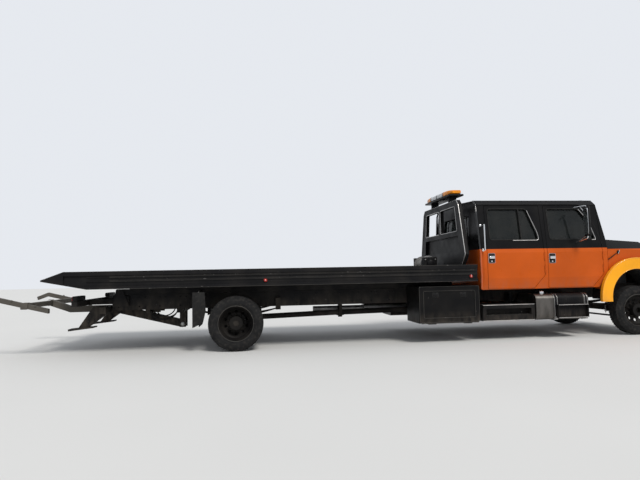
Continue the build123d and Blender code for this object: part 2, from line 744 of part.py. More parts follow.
# Wheel lift: boom, cross tube, legs and feet
lift_boss = (50.0, 80.0)
lift_eye_lug = ((90.0, -200.0), (-110.0, -140.0), (-36.0, 36.0), (30.0, 36.0))
lift_leg_top = ((50.0, -50.0), (-30.0, 60.0), (-150.0, 60.0))
lift_leg_foot = ((-60.0, 0.0), (60.0, 0.0))
lift_pad = ((-187.0, -30.0), (181.0, 10.0), (181.0, 30.0), (-187.0, 0.0))
with BuildPart() as wheel_lift:
    near = Vector(lift_pivot[0], 0, lift_pivot[1])
    far = Vector(lift_cross[0], 0, lift_cross[1])
    run = far - near
    edge = Vector(-run.Z, 0, run.X).normalized() * (lift_boom / 2)
    side_prism([(p.X, p.Z) for p in (near + edge, far + edge, far - edge, near - edge)],
               around(0.0, lift_boom_half))
    cross_rod(lift_pivot, around(0.0, lift_boss[1]), lift_boss[0])
    block(around(lift_cross[0], lift_tube), around(0.0, lift_fork_y + lift_end),
          around(lift_cross[1], lift_tube))
    for _, side in SIDES:
        side_prism(shifted(lift_eye_lug, lift_eye), on_side(side, *lug_y))
        side_prism(shifted(lift_leg_top, lift_cross) + shifted(lift_leg_foot, lift_foot),
                   around(side * lift_leg_y, lift_leg_half))
        side_prism(shifted(lift_pad, lift_foot), around(side * lift_leg_y, lift_pad_half))
        fork = (lift_cross[0], side * lift_fork_y)
        rod((*fork, lift_cross[1] - 2 * lift_tube), (*fork, lift_cross[1] + 2 * lift_tube), fork_pin_radius,
            Mode.SUBTRACT)
    cross_rod(lift_pivot, around(0.0, lift_boss[1] + weld), tilt_pin_radius + fit_gap, Mode.SUBTRACT)
save("wheel_lift", wheel_lift.part)

# Lifting forks: a boom from the cross tube, a crossbar and two arms with turned-down tips
fork_boom_x = lift_cross[0] - lift_tube - fit_gap
fork_lap = 8.0
fork_arm = (
    # x from the tail's tip, height
    (20.0, 682.0), (-715.0, 872.0), (-fork_overhang, 800.0), (15.0 - fork_overhang, 745.0),
    (-722.0, 806.0), (20.0, 616.0),
)
with BuildPart() as lift_forks:
    side_prism(
        [
            (fork_boom_x, lift_cross[1] - lift_tube), (fork_boom_x, lift_cross[1] + lift_tube),
            (tail_x, lift_cross[1] + lift_tube), (fork_bar[0], fork_bar[1] + fork_boom_half),
            (fork_bar[0], fork_bar[1] - fork_boom_half), (tail_x, lift_cross[1] - lift_tube),
        ],
        around(0.0, fork_boom_half),
    )
    block(around(fork_bar[0], fork_bar_half), around(0.0, fork_arm_y + fork_arm_half + fork_lap),
          around(fork_bar[1], fork_bar_half))
    for _, side in SIDES:
        side_prism([(tail_x + ahead, z) for ahead, z in fork_arm], around(side * fork_arm_y, fork_arm_half))
save("lift_forks", lift_forks.part)

# Deck: floor sheet with a raised bed for the winch, sills and cross members
floor_half = side_outer_y - side_channel
floor_bottom_z = floor_z - floor_sheet
bed_z = floor_z + winch_bed
floor_tip = (20.0, 4.0)
floor_bare = 120.0
with BuildPart() as deck:
    block((sill_rear_x, deck_front_x), tilt_rail, (tilt_top_z + wear_pad, sill_top_z + weld))
    both_sides()
    side_prism(
        [
            (tail_x, floor_z - floor_tip[1]), (tail_x + floor_tip[0], floor_z), (winch_bed_x, floor_z),
            (winch_bed_x, bed_z), (deck_front_x, bed_z), (deck_front_x, floor_bottom_z),
            (tail_x + floor_bare, floor_bottom_z),
        ],
        around(0.0, floor_half),
    )
    for n in range(int((deck_front_x - sill_rear_x) / cross_pitch) + 1):
        x = deck_front_x - cross_width - n * cross_pitch
        block((x, x + cross_width), around(0.0, floor_half), (sill_top_z, floor_bottom_z + weld))
save("deck", deck.part)

# Side rails of the deck: channels that taper to the tail's tip
web_y = side_outer_y - side_channel + side_wall
side_lips = (40.0, 60.0)
side_tip = (12.0, 8.0)
ridge_in = 10.0
marker_radius = 20.0
marker_in = 2.0
with BuildPart() as side_rails:
    side_prism(
        [
            (tail_x, floor_z + side_tip[0]), (deck_edge_x, side_top_z), (deck_front_x, side_top_z),
            (deck_front_x, side_bottom_z), (side_taper_x, side_bottom_z), (tail_x, floor_z - side_tip[1]),
        ],
        (floor_half, side_outer_y),
    )
    block((deck_edge_x, deck_front_x + past), (web_y, side_outer_y + past),
          (side_bottom_z + side_lips[0], side_top_z - side_lips[1]), Mode.SUBTRACT)
    for mid in side_ridge_z:
        block((side_taper_x, deck_front_x), (floor_half, side_outer_y - ridge_in),
              around(mid, side_ridge_half))
    both_sides()
save("deck_side_rails", side_rails.part)

with BuildPart() as marker_lamps:
    for place in marker_lamps_at:
        cross_rod(place, (web_y, side_outer_y - marker_in), marker_radius)
    both_sides()
save("marker_lamps", marker_lamps.part)

tail_lamp_height = 75.0
tail_lamp_inner_y = 620.0
with BuildPart() as tail_lamps:
    block(lamp_bar_x, (tail_lamp_inner_y, lamp_bar_half), (lamp_bar_z[1], lamp_bar_z[1] + tail_lamp_height))
    both_sides()
save("tail_lamps", tail_lamps.part)

# Headboard: a welded frame with two windows and a recessed panel
headboard_foot_half = 905.0
headboard_outline = (
    (headboard_foot_half, side_top_z + weld), (1050.0, 1377.0), (840.0, 2210.0), (760.0, headboard_top_z),
)
headboard_window = (
    (headboard_post, 1770.0), (headboard_post, 2190.0), (690.0, 2190.0), (760.0, 1770.0),
)
headboard_panel = ((820.0, 1430.0), (780.0, 1690.0))
headboard_sheet = 10.0
headboard_span = (headboard_x, headboard_x + headboard_depth)


def both_ends(outline, crown=()):
    """A front-view outline of (y, z) points, its crown if it has one, and its mirror image."""
    return list(outline) + list(crown) + [(-y, z) for y, z in reversed(outline)]


with BuildPart() as headboard:
    front_prism(both_ends(headboard_outline), headboard_span)
    for _, side in SIDES:
        front_prism([(side * y, z) for y, z in headboard_window], headboard_span, Mode.SUBTRACT, window_round)
    front_prism(both_ends(headboard_panel), (headboard_x - weld, headboard_span[1] - headboard_sheet),
                Mode.SUBTRACT)
    block(headboard_span, around(0.0, headboard_foot_half), (bed_z + fit_gap, side_top_z + 2 * weld))
save("headboard", headboard.part)

light_bar_x = (headboard_x - 60.0, headboard_x - 60.0 + light_bar_depth)
light_bar_feet = (375.0, 445.0)
foot_outline = (
    # x in front of the headboard's rear face, height
    (5.0, headboard_top_z + fit_gap), (55.0, headboard_top_z + fit_gap),
    (150.0, light_bar_z[0] + weld), (10.0, light_bar_z[0] + weld),
)
with BuildPart() as light_bar:
    front_prism(
        both_ends([
            (light_bar_half - light_bar_slope, light_bar_z[0]),
            (light_bar_half, light_bar_z[0] + light_bar_slope),
            (light_bar_half - light_bar_slope, light_bar_z[1]),
        ]),
        light_bar_x,
    )
    for _, side in SIDES:
        side_prism([(headboard_x + ahead, z) for ahead, z in foot_outline], on_side(side, *light_bar_feet))
save("light_bar", light_bar.part)

# Winch: two end housings on a base plate, and the drum between them
winch_base_z = bed_z + fit_gap
winch_plate = (330.0, 14.0)
winch_housing_half = 120.0
winch_housing_top = 110.0
winch_drum_gap = 8.0
winch_lap = 10.0
with BuildPart() as winch_frame:
    block(around(winch_x, winch_half), around(0.0, winch_plate[0]),
          (winch_base_z, winch_base_z + winch_plate[1]))
    for _, side in SIDES:
        start = drum_half + winch_drum_gap
        block(around(winch_x, winch_housing_half), on_side(side, start, start + winch_housing),
              (winch_base_z + winch_lap, winch_z + winch_housing_top))
    cross_rod((winch_x, winch_z), around(0.0, drum_half + winch_lap), drum_shaft)
save("winch_frame", winch_frame.part)
with BuildPart() as winch_drum:
    cross_rod((winch_x, winch_z), around(0.0, drum_half), drum_radius)
    for _, side in SIDES:
        cross_rod((winch_x, winch_z), on_side(side, drum_half - drum_flange, drum_half), drum_flange_radius)
    cross_rod((winch_x, winch_z), around(0.0, drum_half + past), drum_shaft + fit_gap, Mode.SUBTRACT)
save("winch_drum", winch_drum.part)

# Cab: a shell between an outer and an inner hull
side_tuck = (25.0, 180.0)
belt_drop = 60.0
roof_edge = (90.0, 45.0)
rear_lean = (30.0, 100.0, 50.0)
screen_rake = 110.0
screen_foot_z = belt_z + 130.0
front_foot = (215.0, 1000.0)
corner_bevel = (90.0, 0.3)
front_bevel = 20.0
around_z = (cab_bottom_z - past, cab_roof_z + past)


def cab_hull(inset, low=cab_bottom_z):
    """The cab's closed hull above the height low, drawn in by the inset on every other side."""
    rear, front = cab_rear_x + inset, cab_front_x - inset
    outline = [
        (cab_half - side_tuck[0] - inset, low), (cab_half - inset, low + side_tuck[1]),
        (cab_half - inset, belt_z - belt_drop), (cab_belt_half - inset, belt_z),
        (cab_roof_half - inset, cab_eave_z - inset / 2),
        (cab_roof_half - roof_edge[0] - inset, cab_roof_z - roof_edge[1] - inset),
    ]
    front_prism(both_ends(outline, [(0.0, cab_roof_z - inset)]), (rear, front))
    side_prism(
        [
            (rear + rear_lean[0], around_z[0]), (rear, cab_bottom_z + rear_lean[1]), (rear, belt_z),
            (rear + rear_lean[2], around_z[1]), (front - screen_rake, around_z[1]), (front, screen_foot_z),
            (front, front_foot[1]), (front - front_foot[0], around_z[0]),
        ],
        around(0.0, cab_half + past),
        Mode.INTERSECT,
    )
    half = cab_half - inset + corner_out
    corner, bevel = corner_bevel[0], corner_bevel[0] * corner_bevel[1]
    side = [
        (rear, half - corner), (rear + bevel, half - bevel), (rear + corner, half),
        (front - front_bevel, half), (front, half - front_bevel),
    ]
    plan_prism(side + [(x, -y) for x, y in reversed(side)], around_z, Mode.INTERSECT)


def door_plug(span, gap):
    """The prism that a right-hand door fills in the shell, grown by the gap."""
    rear, front = span[0] - gap, span[1] + gap
    bevel = math.tan(math.radians(door_bevel))
    outer, inner = -cab_half - past, -cab_roof_half + door_depth
    low, high = door_bottom_z - gap, door_top_z + gap
    plan_prism(
        [
            (rear + (outer + cab_half) * bevel, outer), (front, outer), (front, inner),
            (rear + (inner + cab_half) * bevel, inner),
        ],
        (low, high),
    )
    side_prism(
        [
            (rear - past, low), (front - door_corner[0], low), (front, low + door_corner[1]), (front, high),
            (rear - past, high),
        ],
        (outer, inner),
        Mode.INTERSECT,
    )


def window(which, span, mode):
    """The window of a door: a level sill, a slanted front edge and a level top."""
    side_prism(
        [(span[0] + window_rear_edge, window_sill_z)]
        + [(span[1] - back, z) for back, z in window_fronts[which]]
        + [(span[0] + window_rear_edge, window_top_z)],
        (-cab_half - past, -cab_roof_half + door_depth + past),
        mode,
        window_round,
    )


def hinge_axis(span):
    """The x of a door's hinge line, in the middle of the gap in front of it."""
    return span[1] + panel_gap / 2


def hinge_seat(span, mode):
    """Clears or fills the space round each hinge along a door's front edge."""
    line = (hinge_axis(span), -cab_half)
    for z in hinge_heights:
        rod((*line, z - hinge_eye_height), (*line, z + hinge_eye_height), hinge_eye_radius + panel_gap / 2,
            mode)


door_spans = (("rear", rear_door_x), ("front", front_door_x))
windscreen = ((cab_half - 205.0, 1650.0), (cab_half - 275.0, 2130.0))
rear_window = ((560.0, 1560.0), (540.0, 2050.0))
windscreen_x = (cab_front_x - 300.0, cab_front_x + past)
rear_window_x = (cab_rear_x - past, cab_rear_x + 200.0)
cab_feet_x = (cab_rear_x + 200.0, cab_rear_x + 1000.0, cab_front_x - 340.0)
cab_foot_half = 60.0
leaf_y = (-cab_half + weld, -cab_half + weld + hinge_leaf_thick)
half_eye = hinge_eye_height / 2

with BuildPart() as cab_cavity:
    cab_hull(cab_wall, cab_floor_z)
with BuildPart() as cab_full:
    cab_hull(0.0)
    add(cab_cavity.part, mode=Mode.SUBTRACT)
    front_prism(both_ends(windscreen), windscreen_x, Mode.SUBTRACT, window_round)
    front_prism(both_ends(rear_window), rear_window_x, Mode.SUBTRACT, window_round)
    block((cab_rear_x - past, cab_front_x + past), around(0.0, cab_tunnel_half),
          (cab_bottom_z - past, cab_tunnel_z), Mode.SUBTRACT)

door_gaps = []
for _, span in door_spans:
    with BuildPart() as door_gap:
        door_plug(span, panel_gap)
        hinge_seat(span, Mode.ADD)
        both_sides()
    door_gaps.append(door_gap.part)

with BuildPart() as hinge_pins:
    for _, span in door_spans:
        x = hinge_axis(span)
        for z in hinge_heights:
            reach = hinge_eye_height - panel_gap / 2
            rod((x, -cab_half, z - reach), (x, -cab_half, z + reach), hinge_pin_radius)
            for low, high in ((z - reach, z - half_eye - eye_gap), (z + half_eye + eye_gap, z + reach)):
                rod((x, -cab_half, low), (x, -cab_half, high), hinge_eye_radius)
                block((x, x + hinge_leaf), leaf_y, (low, high))
    both_sides()

with BuildPart() as cab_shell:
    add(cab_full.part)
    for gap_part in door_gaps:
        add(gap_part, mode=Mode.SUBTRACT)
    add(hinge_pins.part)
    for x in cab_feet_x:
        for _, side in SIDES:
            block(around(x, cab_foot_half), on_side(side, rail_inner_y, rail_outer_y),
                  (rail_top_z + fit_gap, cab_tunnel_z + 2 * weld))
save("cab_shell", cab_shell.part)

# Doors: what the shell holds inside each plug, with its window and hinge eyes
with BuildPart() as pane_outer:
    cab_hull(cab_wall / 2 - glass / 2)
with BuildPart() as pane_inner:
    cab_hull(cab_wall / 2 + glass / 2)
with BuildPart() as glass_skin:
    add(pane_outer.part)
    add(pane_inner.part, mode=Mode.SUBTRACT)

for which, span in door_spans:
    with BuildPart() as door:
        door_plug(span, 0.0)
        add(cab_full.part, mode=Mode.INTERSECT)
        window(which, span, Mode.SUBTRACT)
        hinge_seat(span, Mode.SUBTRACT)
        x = hinge_axis(span)
        for z in hinge_heights:
            low, high = z - half_eye + eye_gap, z + half_eye - eye_gap
            rod((x, -cab_half, low), (x, -cab_half, high), hinge_eye_radius)
            block((x - hinge_leaf, x), leaf_y, (low, high))
            rod((x, -cab_half, z - half_eye - weld), (x, -cab_half, z + half_eye + weld),
                hinge_pin_radius + fit_gap, Mode.SUBTRACT)
    with BuildPart() as pane:
        window(which, span, Mode.ADD)
        add(glass_skin.part, mode=Mode.INTERSECT)
    for name, side in SIDES:
        save(f"{which}_door_{name}", mirrored(door.part, side))
        save(f"{which}_door_glass_{name}", mirrored(pane.part, side))

with BuildPart() as cab_glass:
    front_prism(both_ends(windscreen), windscreen_x, Mode.ADD, window_round)
    front_prism(both_ends(rear_window), rear_window_x, Mode.ADD, window_round)
    add(glass_skin.part, mode=Mode.INTERSECT)
save("cab_glass", cab_glass.part)

# Inside the cab: two front seats, the rear bench, the dashboard and the steering wheel
seat_foot_z = cab_floor_z + fit_gap
seat_z = cab_floor_z + 420.0
front_seat_y = cab_half - 525.0
seat_places = (
    # x, y, half width
    (cab_front_x - 590.0, -front_seat_y, 260.0),
    (cab_front_x - 590.0, front_seat_y, 260.0),
    (cab_rear_x + 550.0, 0.0, cab_half - 305.0),
)
seat_outline = (
    (210.0, seat_foot_z), (230.0, seat_z), (-190.0, seat_z - 20.0), (-330.0, seat_z + 620.0),
    (-430.0, seat_z + 600.0), (-300.0, seat_foot_z),
)
with BuildPart() as seats:
    for x, y, half in seat_places:
        side_prism([(x + ahead, z) for ahead, z in seat_outline], around(y, half))
save("seats", seats.part)

dash_front_x = cab_front_x - cab_wall - fit_gap
dash_rear_x = dash_front_x - 330.0
dash_half = cab_belt_half - cab_wall - 45.0
dash_outline = (
    (dash_front_x, 1150.0), (dash_front_x, 1560.0), (dash_rear_x + 60.0, 1560.0), (dash_rear_x, 1460.0),
    (dash_rear_x + 110.0, 1150.0),
)
steering_wheel = (215.0, 14.0)
steering_hub = (45.0, 30.0)
steering_spoke = (210.0, 22.0, 12.0)
column_foot = Vector(dash_rear_x + 60.0, front_seat_y, 1440.0)
column_head = Vector(dash_rear_x - 170.0, front_seat_y, seat_z + 230.0)
with BuildPart() as dashboard:
    side_prism(dash_outline, around(0.0, dash_half))
    with Locations(Plane(origin=column_head, z_dir=column_head - column_foot)):
        Torus(*steering_wheel)
        Cylinder(*steering_hub)
        with PolarLocations(steering_wheel[0] / 2, 3):
            Box(*steering_spoke)
    rod(column_foot, column_head, steering_hub[0] / 2)
save("dashboard", dashboard.part)

# Mirrors on the front doors and the grab handles behind the rear doors
mirror_x = cab_front_x - 480.0
mirror_y = cab_half + 195.0
mirror_z = (1600.0, 2150.0)
mirror_head = (22.0, 66.0, 30.0)
mirror_post_radius = 11.0
mirror_arm_radius = 8.0
mirror_arms = (
    # height at the mirror's post, foot inside the door
    (mirror_z[1] - 20.0, (mirror_x - 60.0, -cab_half + 205.0, mirror_z[1] - 20.0)),
    (mirror_z[0] + 18.0, (mirror_x - 60.0, -cab_half + 105.0, mirror_z[0] - 60.0)),
)
with BuildPart() as cab_outer:
    cab_hull(0.0)
with BuildPart() as mirror_right:
    block(around(mirror_x, mirror_head[0]), around(-mirror_y, mirror_head[1]),
          (mirror_z[0] + mirror_head[2], mirror_z[1] - mirror_head[2]))
    rod((mirror_x, -mirror_y, mirror_z[0]), (mirror_x, -mirror_y, mirror_z[1]), mirror_post_radius)
    for z, foot in mirror_arms:
        rod((mirror_x, -mirror_y, z), foot, mirror_arm_radius)
    add(cab_outer.part, mode=Mode.SUBTRACT)
for name, side in SIDES:
    save(f"mirror_{name}", mirrored(mirror_right.part, side))

handle_x = cab_rear_x + 62.0
handle_out = 55.0
handle_z = (1430.0, 1850.0)
handle_end = 15.0
handle_radius = 12.0
handle_foot_in = 160.0
with BuildPart() as grab_handles:
    handle = (handle_x, -cab_half - handle_out)
    rod((*handle, handle_z[0]), (*handle, handle_z[1]), handle_radius)
    for z in (handle_z[0] + handle_end, handle_z[1] - handle_end):
        rod((*handle, z), (handle_x, -cab_half + handle_foot_in, z), handle_radius - weld)
    add(cab_outer.part, mode=Mode.SUBTRACT)
    both_sides()
save("grab_handles", grab_handles.part)

# Hood: one wide tilting shell with its fenders, flares and liners
hood_sections = (
    # x, half width, belt height, half width of the shoulder, its height, height of the middle
    (hood_rear_x, hood_half, 1440.0, hood_half - 135.0, 1600.0, 1665.0),
    (front_x + 250.0, hood_half, 1400.0, hood_half - 155.0, 1550.0, 1620.0),
    (hood_front_x, hood_nose_half, 1290.0, hood_nose_half - 130.0, 1410.0, 1450.0),
)


def hood_hull(inset, ends):
    """The hood's outer form, drawn in by the inset; ends lengthens it to the rear and below."""
    sections = []
    for n, (x, half, belt, shoulder, shoulder_z, middle) in enumerate(hood_sections):
        place = x - ends if n == 0 else x - inset if n == len(hood_sections) - 1 else x
        outline = [
            (half - inset, fender_bottom_z - ends), (half - inset, belt - inset / 2),
            (shoulder - inset / 2, shoulder_z - inset),
        ]
        with BuildSketch(Plane.YZ.offset(place)) as section:
            with BuildLine():
                Polyline(*both_ends(outline, [(0.0, middle - inset)]), close=True)
            make_face()
        sections.append(section.sketch)
    loft(sections, ruled=True)


below_z = (-past, cab_roof_z)
flare_root = cab_half - 85.0
arch_reach = flare_radius + past
nose_x = (hood_front_x - hood_skin - past, hood_front_x + past)
nose_cut_half = 520.0
ear_y = (rail_outer_y + 24.0, rail_outer_y + 24.0 + hood_ear)
ear_half = 34.0
ear_front_x = hood_front_x - hood_skin + weld
ear_top = 130.0
arch = (front_x, arch_z)
with BuildPart() as hood_cavity:
    hood_hull(hood_skin, past)
with BuildPart() as flare:
    cross_rod(arch, (-flare_half, -flare_root), flare_radius)
    cross_rod(arch, (-flare_half, -liner_inner_y), arch_radius + hood_skin)
    block(around(front_x, arch_reach), (-flare_half - past, 0.0), (below_z[0], flare_bottom_z), Mode.SUBTRACT)
    block(around(front_x, arch_reach), (-flare_inner, 0.0), (below_z[0], fender_bottom_z), Mode.SUBTRACT)
    block((front_x - arch_reach, hood_rear_x), (-flare_inner, 0.0), below_z, Mode.SUBTRACT)
    block((hood_front_x, front_x + arch_reach), (-flare_half - past, 0.0), below_z, Mode.SUBTRACT)
    both_sides()

with BuildPart() as hood:
    hood_hull(0.0, 0.0)
    add(hood_cavity.part, mode=Mode.SUBTRACT)
    add(flare.part)
    for _, side in SIDES:
        across = on_side(side, liner_inner_y - weld, flare_half + past)
        cross_rod(arch, across, arch_radius, Mode.SUBTRACT)
        block(around(front_x, arch_radius), across, (below_z[0], arch_z), Mode.SUBTRACT)
        block(nose_x, on_side(side, *lamp_y), lamp_z, Mode.SUBTRACT)
        block((hood_hinge_x - ear_half, ear_front_x), on_side(side, *ear_y), around(hood_hinge_z, ear_half))
        block((hood_hinge_x, ear_front_x), on_side(side, *ear_y), (hood_hinge_z, hood_hinge_z + ear_top))
    block(nose_x, around(0.0, nose_cut_half), (below_z[0], hood_nose_bottom_z), Mode.SUBTRACT)
    block(nose_x, around(0.0, grille_half), grille_z, Mode.SUBTRACT)
    cross_rod((hood_hinge_x, hood_hinge_z), around(0.0, liner_inner_y), kingpin_radius + fit_gap,
              Mode.SUBTRACT)
save("hood", hood.part)

grille_x = (hood_front_x - 40.0, hood_front_x - 4.0)
bar_in = 6.0
with BuildPart() as grille:
    block(grille_x, around(0.0, grille_half), grille_z)
    block((grille_x[0] - past, grille_x[1] + past), around(0.0, grille_half - grille_rim),
          (grille_z[0] + grille_rim, grille_z[1] - grille_rim), Mode.SUBTRACT)
    for n in range(grille_bars):
        z = grille_z[0] + (grille_z[1] - grille_z[0]) * (n + 1) / (grille_bars + 1)
        block((grille_x[0] + bar_in, grille_x[1] - bar_in), around(0.0, grille_half - grille_rim + weld),
              around(z, grille_bar / 2))
save("grille", grille.part)

headlamp_x = (hood_front_x - 60.0, hood_front_x - 3.0)
with BuildPart() as headlamps:
    block(headlamp_x, lamp_y, lamp_z)
    both_sides()
save("headlamps", headlamps.part)

# Front bumper: a channel with rolled edges on two brackets
bumper_rear_x = bumper_x - bumper_depth
bumper_web_x = bumper_x - bumper_wall - bumper_roll / 2
bumper_edge = 20.0
bracket_in = 4.0
with BuildPart() as bumper:
    side_prism(
        [
            (bumper_rear_x, bumper_z[0]), (bumper_x - bumper_roll, bumper_z[0]),
            (bumper_x, bumper_z[0] + bumper_edge), (bumper_x, bumper_z[1] - bumper_edge),
            (bumper_x - bumper_roll, bumper_z[1]), (bumper_rear_x, bumper_z[1]),
            (bumper_rear_x, bumper_z[1] - bumper_wall), (bumper_web_x, bumper_z[1] - bumper_wall),
            (bumper_web_x, bumper_z[0] + bumper_wall), (bumper_rear_x, bumper_z[0] + bumper_wall),
        ],
        around(0.0, bumper_half),
    )
    for _, side in SIDES:
        block((rail_front_x + fit_gap, bumper_x - bumper_wall),
              on_side(side, rail_inner_y + bracket_in, rail_outer_y),
              (rail_bottom_z, bumper_z[1] - bumper_wall + weld))
save("front_bumper", bumper.part)


# Fuel tanks, their straps with a step box between them, and the steps under the rear doors
def tank_section(x, grown):
    """The right-hand tank's rounded section on the plane at x, grown all round."""
    with BuildSketch(Plane.YZ.offset(x)) as section:
        with Locations((-(tank_y[0] + tank_y[1]) / 2, (tank_z[0] + tank_z[1]) / 2)):
            RectangleRounded(tank_y[1] - tank_y[0] + 2 * grown, tank_z[1] - tank_z[0] + 2 * grown,
                             tank_round + grown)
    return section.sketch


with BuildPart() as fuel_tanks:
    extrude(tank_section(tank_x[0], 0.0), amount=tank_x[1] - tank_x[0])
    both_sides()
save("fuel_tanks", fuel_tanks.part)

strap_x = (tank_x[0] + strap_in[0], tank_x[1] - strap_in[1])
strap_foot_y = -tank_y[0] + strap_thick - weld
strap_foot = (
    # how far out from the rail, z range
    (fit_gap, (rail_bottom_z + 20.0, tank_z[1])),
    (30.0, (tank_z[0] + 60.0, rail_bottom_z + 30.0)),
)
step_box_y = (-tank_y[1] - weld, -tank_y[1] - step_box_out)
step_box_wall = 12.0
with BuildPart() as tank_straps:
    for x in strap_x:
        extrude(tank_section(x - strap_width / 2, strap_thick), amount=strap_width)
    extrude(tank_section(tank_x[0] - past, 0.0), amount=tank_x[1] - tank_x[0] + 2 * past, mode=Mode.SUBTRACT)
    for x in strap_x:
        for out, z in strap_foot:
            block(around(x, strap_width / 2), (strap_foot_y, -rail_outer_y - out), z)
    block(strap_x, step_box_y, step_box_z)
    block((strap_x[0] + step_box_wall, strap_x[1] - step_box_wall),
          (step_box_y[0] - step_box_wall, step_box_y[1] - past),
          (step_box_z[0] + step_box_wall, step_box_z[1] - step_box_wall), Mode.SUBTRACT)
    both_sides()
save("tank_straps", tank_straps.part)

step_nose = (40.0, 60.0)
step_pocket = (60.0, 120.0)
step_pocket_z = (step_z[0] + 90.0, step_z[1] - 60.0)
step_arm_in = 150.0
step_arm_half = 25.0
with BuildPart() as cab_steps:
    side_prism(
        [
            (step_x[0], step_z[0]), (step_x[1], step_z[0]), (step_x[1], step_z[1]),
            (step_x[0] + step_nose[0], step_z[1]), (step_x[0], step_z[1] - step_nose[1]),
        ],
        (-step_y[1], -step_y[0]),
    )
    block((step_x[0] + step_pocket[0], step_x[1] - step_pocket[0]),
          (-step_y[1] - past, -step_y[1] + step_pocket[1]), step_pocket_z, Mode.SUBTRACT)
    for x in (step_x[0] + step_arm_in, step_x[1] - step_arm_in):
        block(around(x, step_arm_half), (-step_y[0] - past, -rail_outer_y - fit_gap),
              (step_z[1] - 80.0, rail_bottom_z + 120.0))
    both_sides()
save("cab_steps", cab_steps.part)

# Toolboxes under the deck, each with a door hinged along its bottom edge
box_face_y = box_y[1] - box_door - panel_gap
box_hinge = (-box_y[1], box_z[0] - 4.0)
box_door_z = (box_hinge[1] + hinge_eye_radius + panel_gap, box_z[1] - panel_gap)
box_hinges_x = (box_x[0] + 200.0, box_x[1] - 200.0)
box_arms_x = (box_x[0] + 160.0, box_x[1] - 160.0)
box_arm_z = (box_z[1] - 240.0, rail_top_z - 10.0)
box_arm_half = 30.0
box_leaf = (12.0, 8.0, 20.0)
with BuildPart() as toolboxes:
    block(box_x, (-box_face_y, -box_y[0]), box_z)
    block((box_x[0] + box_wall, box_x[1] - box_wall), (-box_face_y - past, -box_y[0] - box_wall),
          (box_z[0] + box_wall, box_z[1] - box_wall), Mode.SUBTRACT)
    for x in box_arms_x:
        block(around(x, box_arm_half), (-box_y[0] - weld, -rail_outer_y - fit_gap), box_arm_z)
    for x in box_hinges_x:
        rod((x - hinge_eye_height, *box_hinge), (x + hinge_eye_height, *box_hinge), hinge_pin_radius)
        for low, high in (
            (x - hinge_eye_height, x - half_eye - eye_gap), (x + half_eye + eye_gap, x + hinge_eye_height),
        ):
            rod((low, *box_hinge), (high, *box_hinge), hinge_eye_radius)
            block((low, high), (-box_y[1], -box_face_y + box_leaf[2]),
                  (box_hinge[1] - box_leaf[0], box_hinge[1] + box_leaf[1]))
    both_sides()
save("toolboxes", toolboxes.part)

door_frame = 70.0
door_recess = 8.0
door_edge = 4.0
with BuildPart() as toolbox_door:
    block((box_x[0] + door_edge, box_x[1] - door_edge), (-box_y[1], -box_y[1] + box_door), box_door_z)
    block((box_x[0] + door_frame, box_x[1] - door_frame), (-box_y[1] - past, -box_y[1] + door_recess),
          (box_door_z[0] + door_frame, box_door_z[1] - door_frame), Mode.SUBTRACT)
    for x in box_hinges_x:
        low, high = x - half_eye + eye_gap, x + half_eye - eye_gap
        rod((low, *box_hinge), (high, *box_hinge), hinge_eye_radius)
        block((low, high), (-box_y[1], -box_y[1] + box_leaf[0]), (box_hinge[1], box_door_z[0] + door_edge))
        rod((low - weld, *box_hinge), (high + weld, *box_hinge), hinge_pin_radius + fit_gap, Mode.SUBTRACT)
for name, side in SIDES:
    save(f"toolbox_door_{name}", mirrored(toolbox_door.part, side))

# Mud flaps behind the rear wheels, hung from arms on the rails
flap_arm = 40.0
flap_arm_z = (780.0, 820.0)
with BuildPart() as mud_flaps:
    block((flap_x - flap_thick, flap_x), flap_y, flap_z)
    block((flap_x - flap_arm, flap_x + weld), (rail_outer_y + fit_gap, flap_y[1]), flap_arm_z)
    both_sides()
save("mud_flaps", mud_flaps.part)
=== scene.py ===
"""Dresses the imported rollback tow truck: finishes for its solids and the finer pieces on them.

All sizes are in metres: +X to the front, +Y to the truck's left, +Z up from the ground. Places along the truck are
measured from its middle without the lifting forks, and FORK_SHIFT takes them to the part's own frame.
"""

import logging
import math
from dataclasses import dataclass, field
from enum import Enum
from typing import Optional, Sequence

import bmesh
import bpy
import numpy as np
from mathutils import Matrix


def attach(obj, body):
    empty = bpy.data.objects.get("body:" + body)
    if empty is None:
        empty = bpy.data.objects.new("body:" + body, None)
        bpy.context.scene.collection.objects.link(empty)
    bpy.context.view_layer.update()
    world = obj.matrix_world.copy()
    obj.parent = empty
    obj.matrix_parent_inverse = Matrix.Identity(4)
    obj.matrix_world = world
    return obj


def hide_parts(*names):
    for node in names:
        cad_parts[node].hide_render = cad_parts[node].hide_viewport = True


Array = np.ndarray
Colour = Point = tuple[float, float, float]
Flat = tuple[float, float]
Socket = bpy.types.NodeSocket

log = logging.getLogger("tow_truck")
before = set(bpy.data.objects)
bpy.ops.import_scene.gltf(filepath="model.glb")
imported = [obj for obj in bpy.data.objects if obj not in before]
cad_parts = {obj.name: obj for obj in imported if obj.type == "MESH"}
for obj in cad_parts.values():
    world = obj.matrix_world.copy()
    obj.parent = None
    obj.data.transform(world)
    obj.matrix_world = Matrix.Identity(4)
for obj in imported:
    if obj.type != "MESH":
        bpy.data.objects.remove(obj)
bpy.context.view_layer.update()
FORK_SHIFT = np.array([0.45, 0.0, 0.0])
ALONG_X, ALONG_Y, ALONG_Z = (1, 0, 0), (0, 1, 0), (0, 0, 1)
QUARTER = math.pi / 2


class Side(Enum):
    """The two sides of the truck, with the sign of y on each."""

    RIGHT = -1
    LEFT = 1

    @property
    def label(self) -> str:
        """The word that the part's node names use."""
        return self.name.lower()


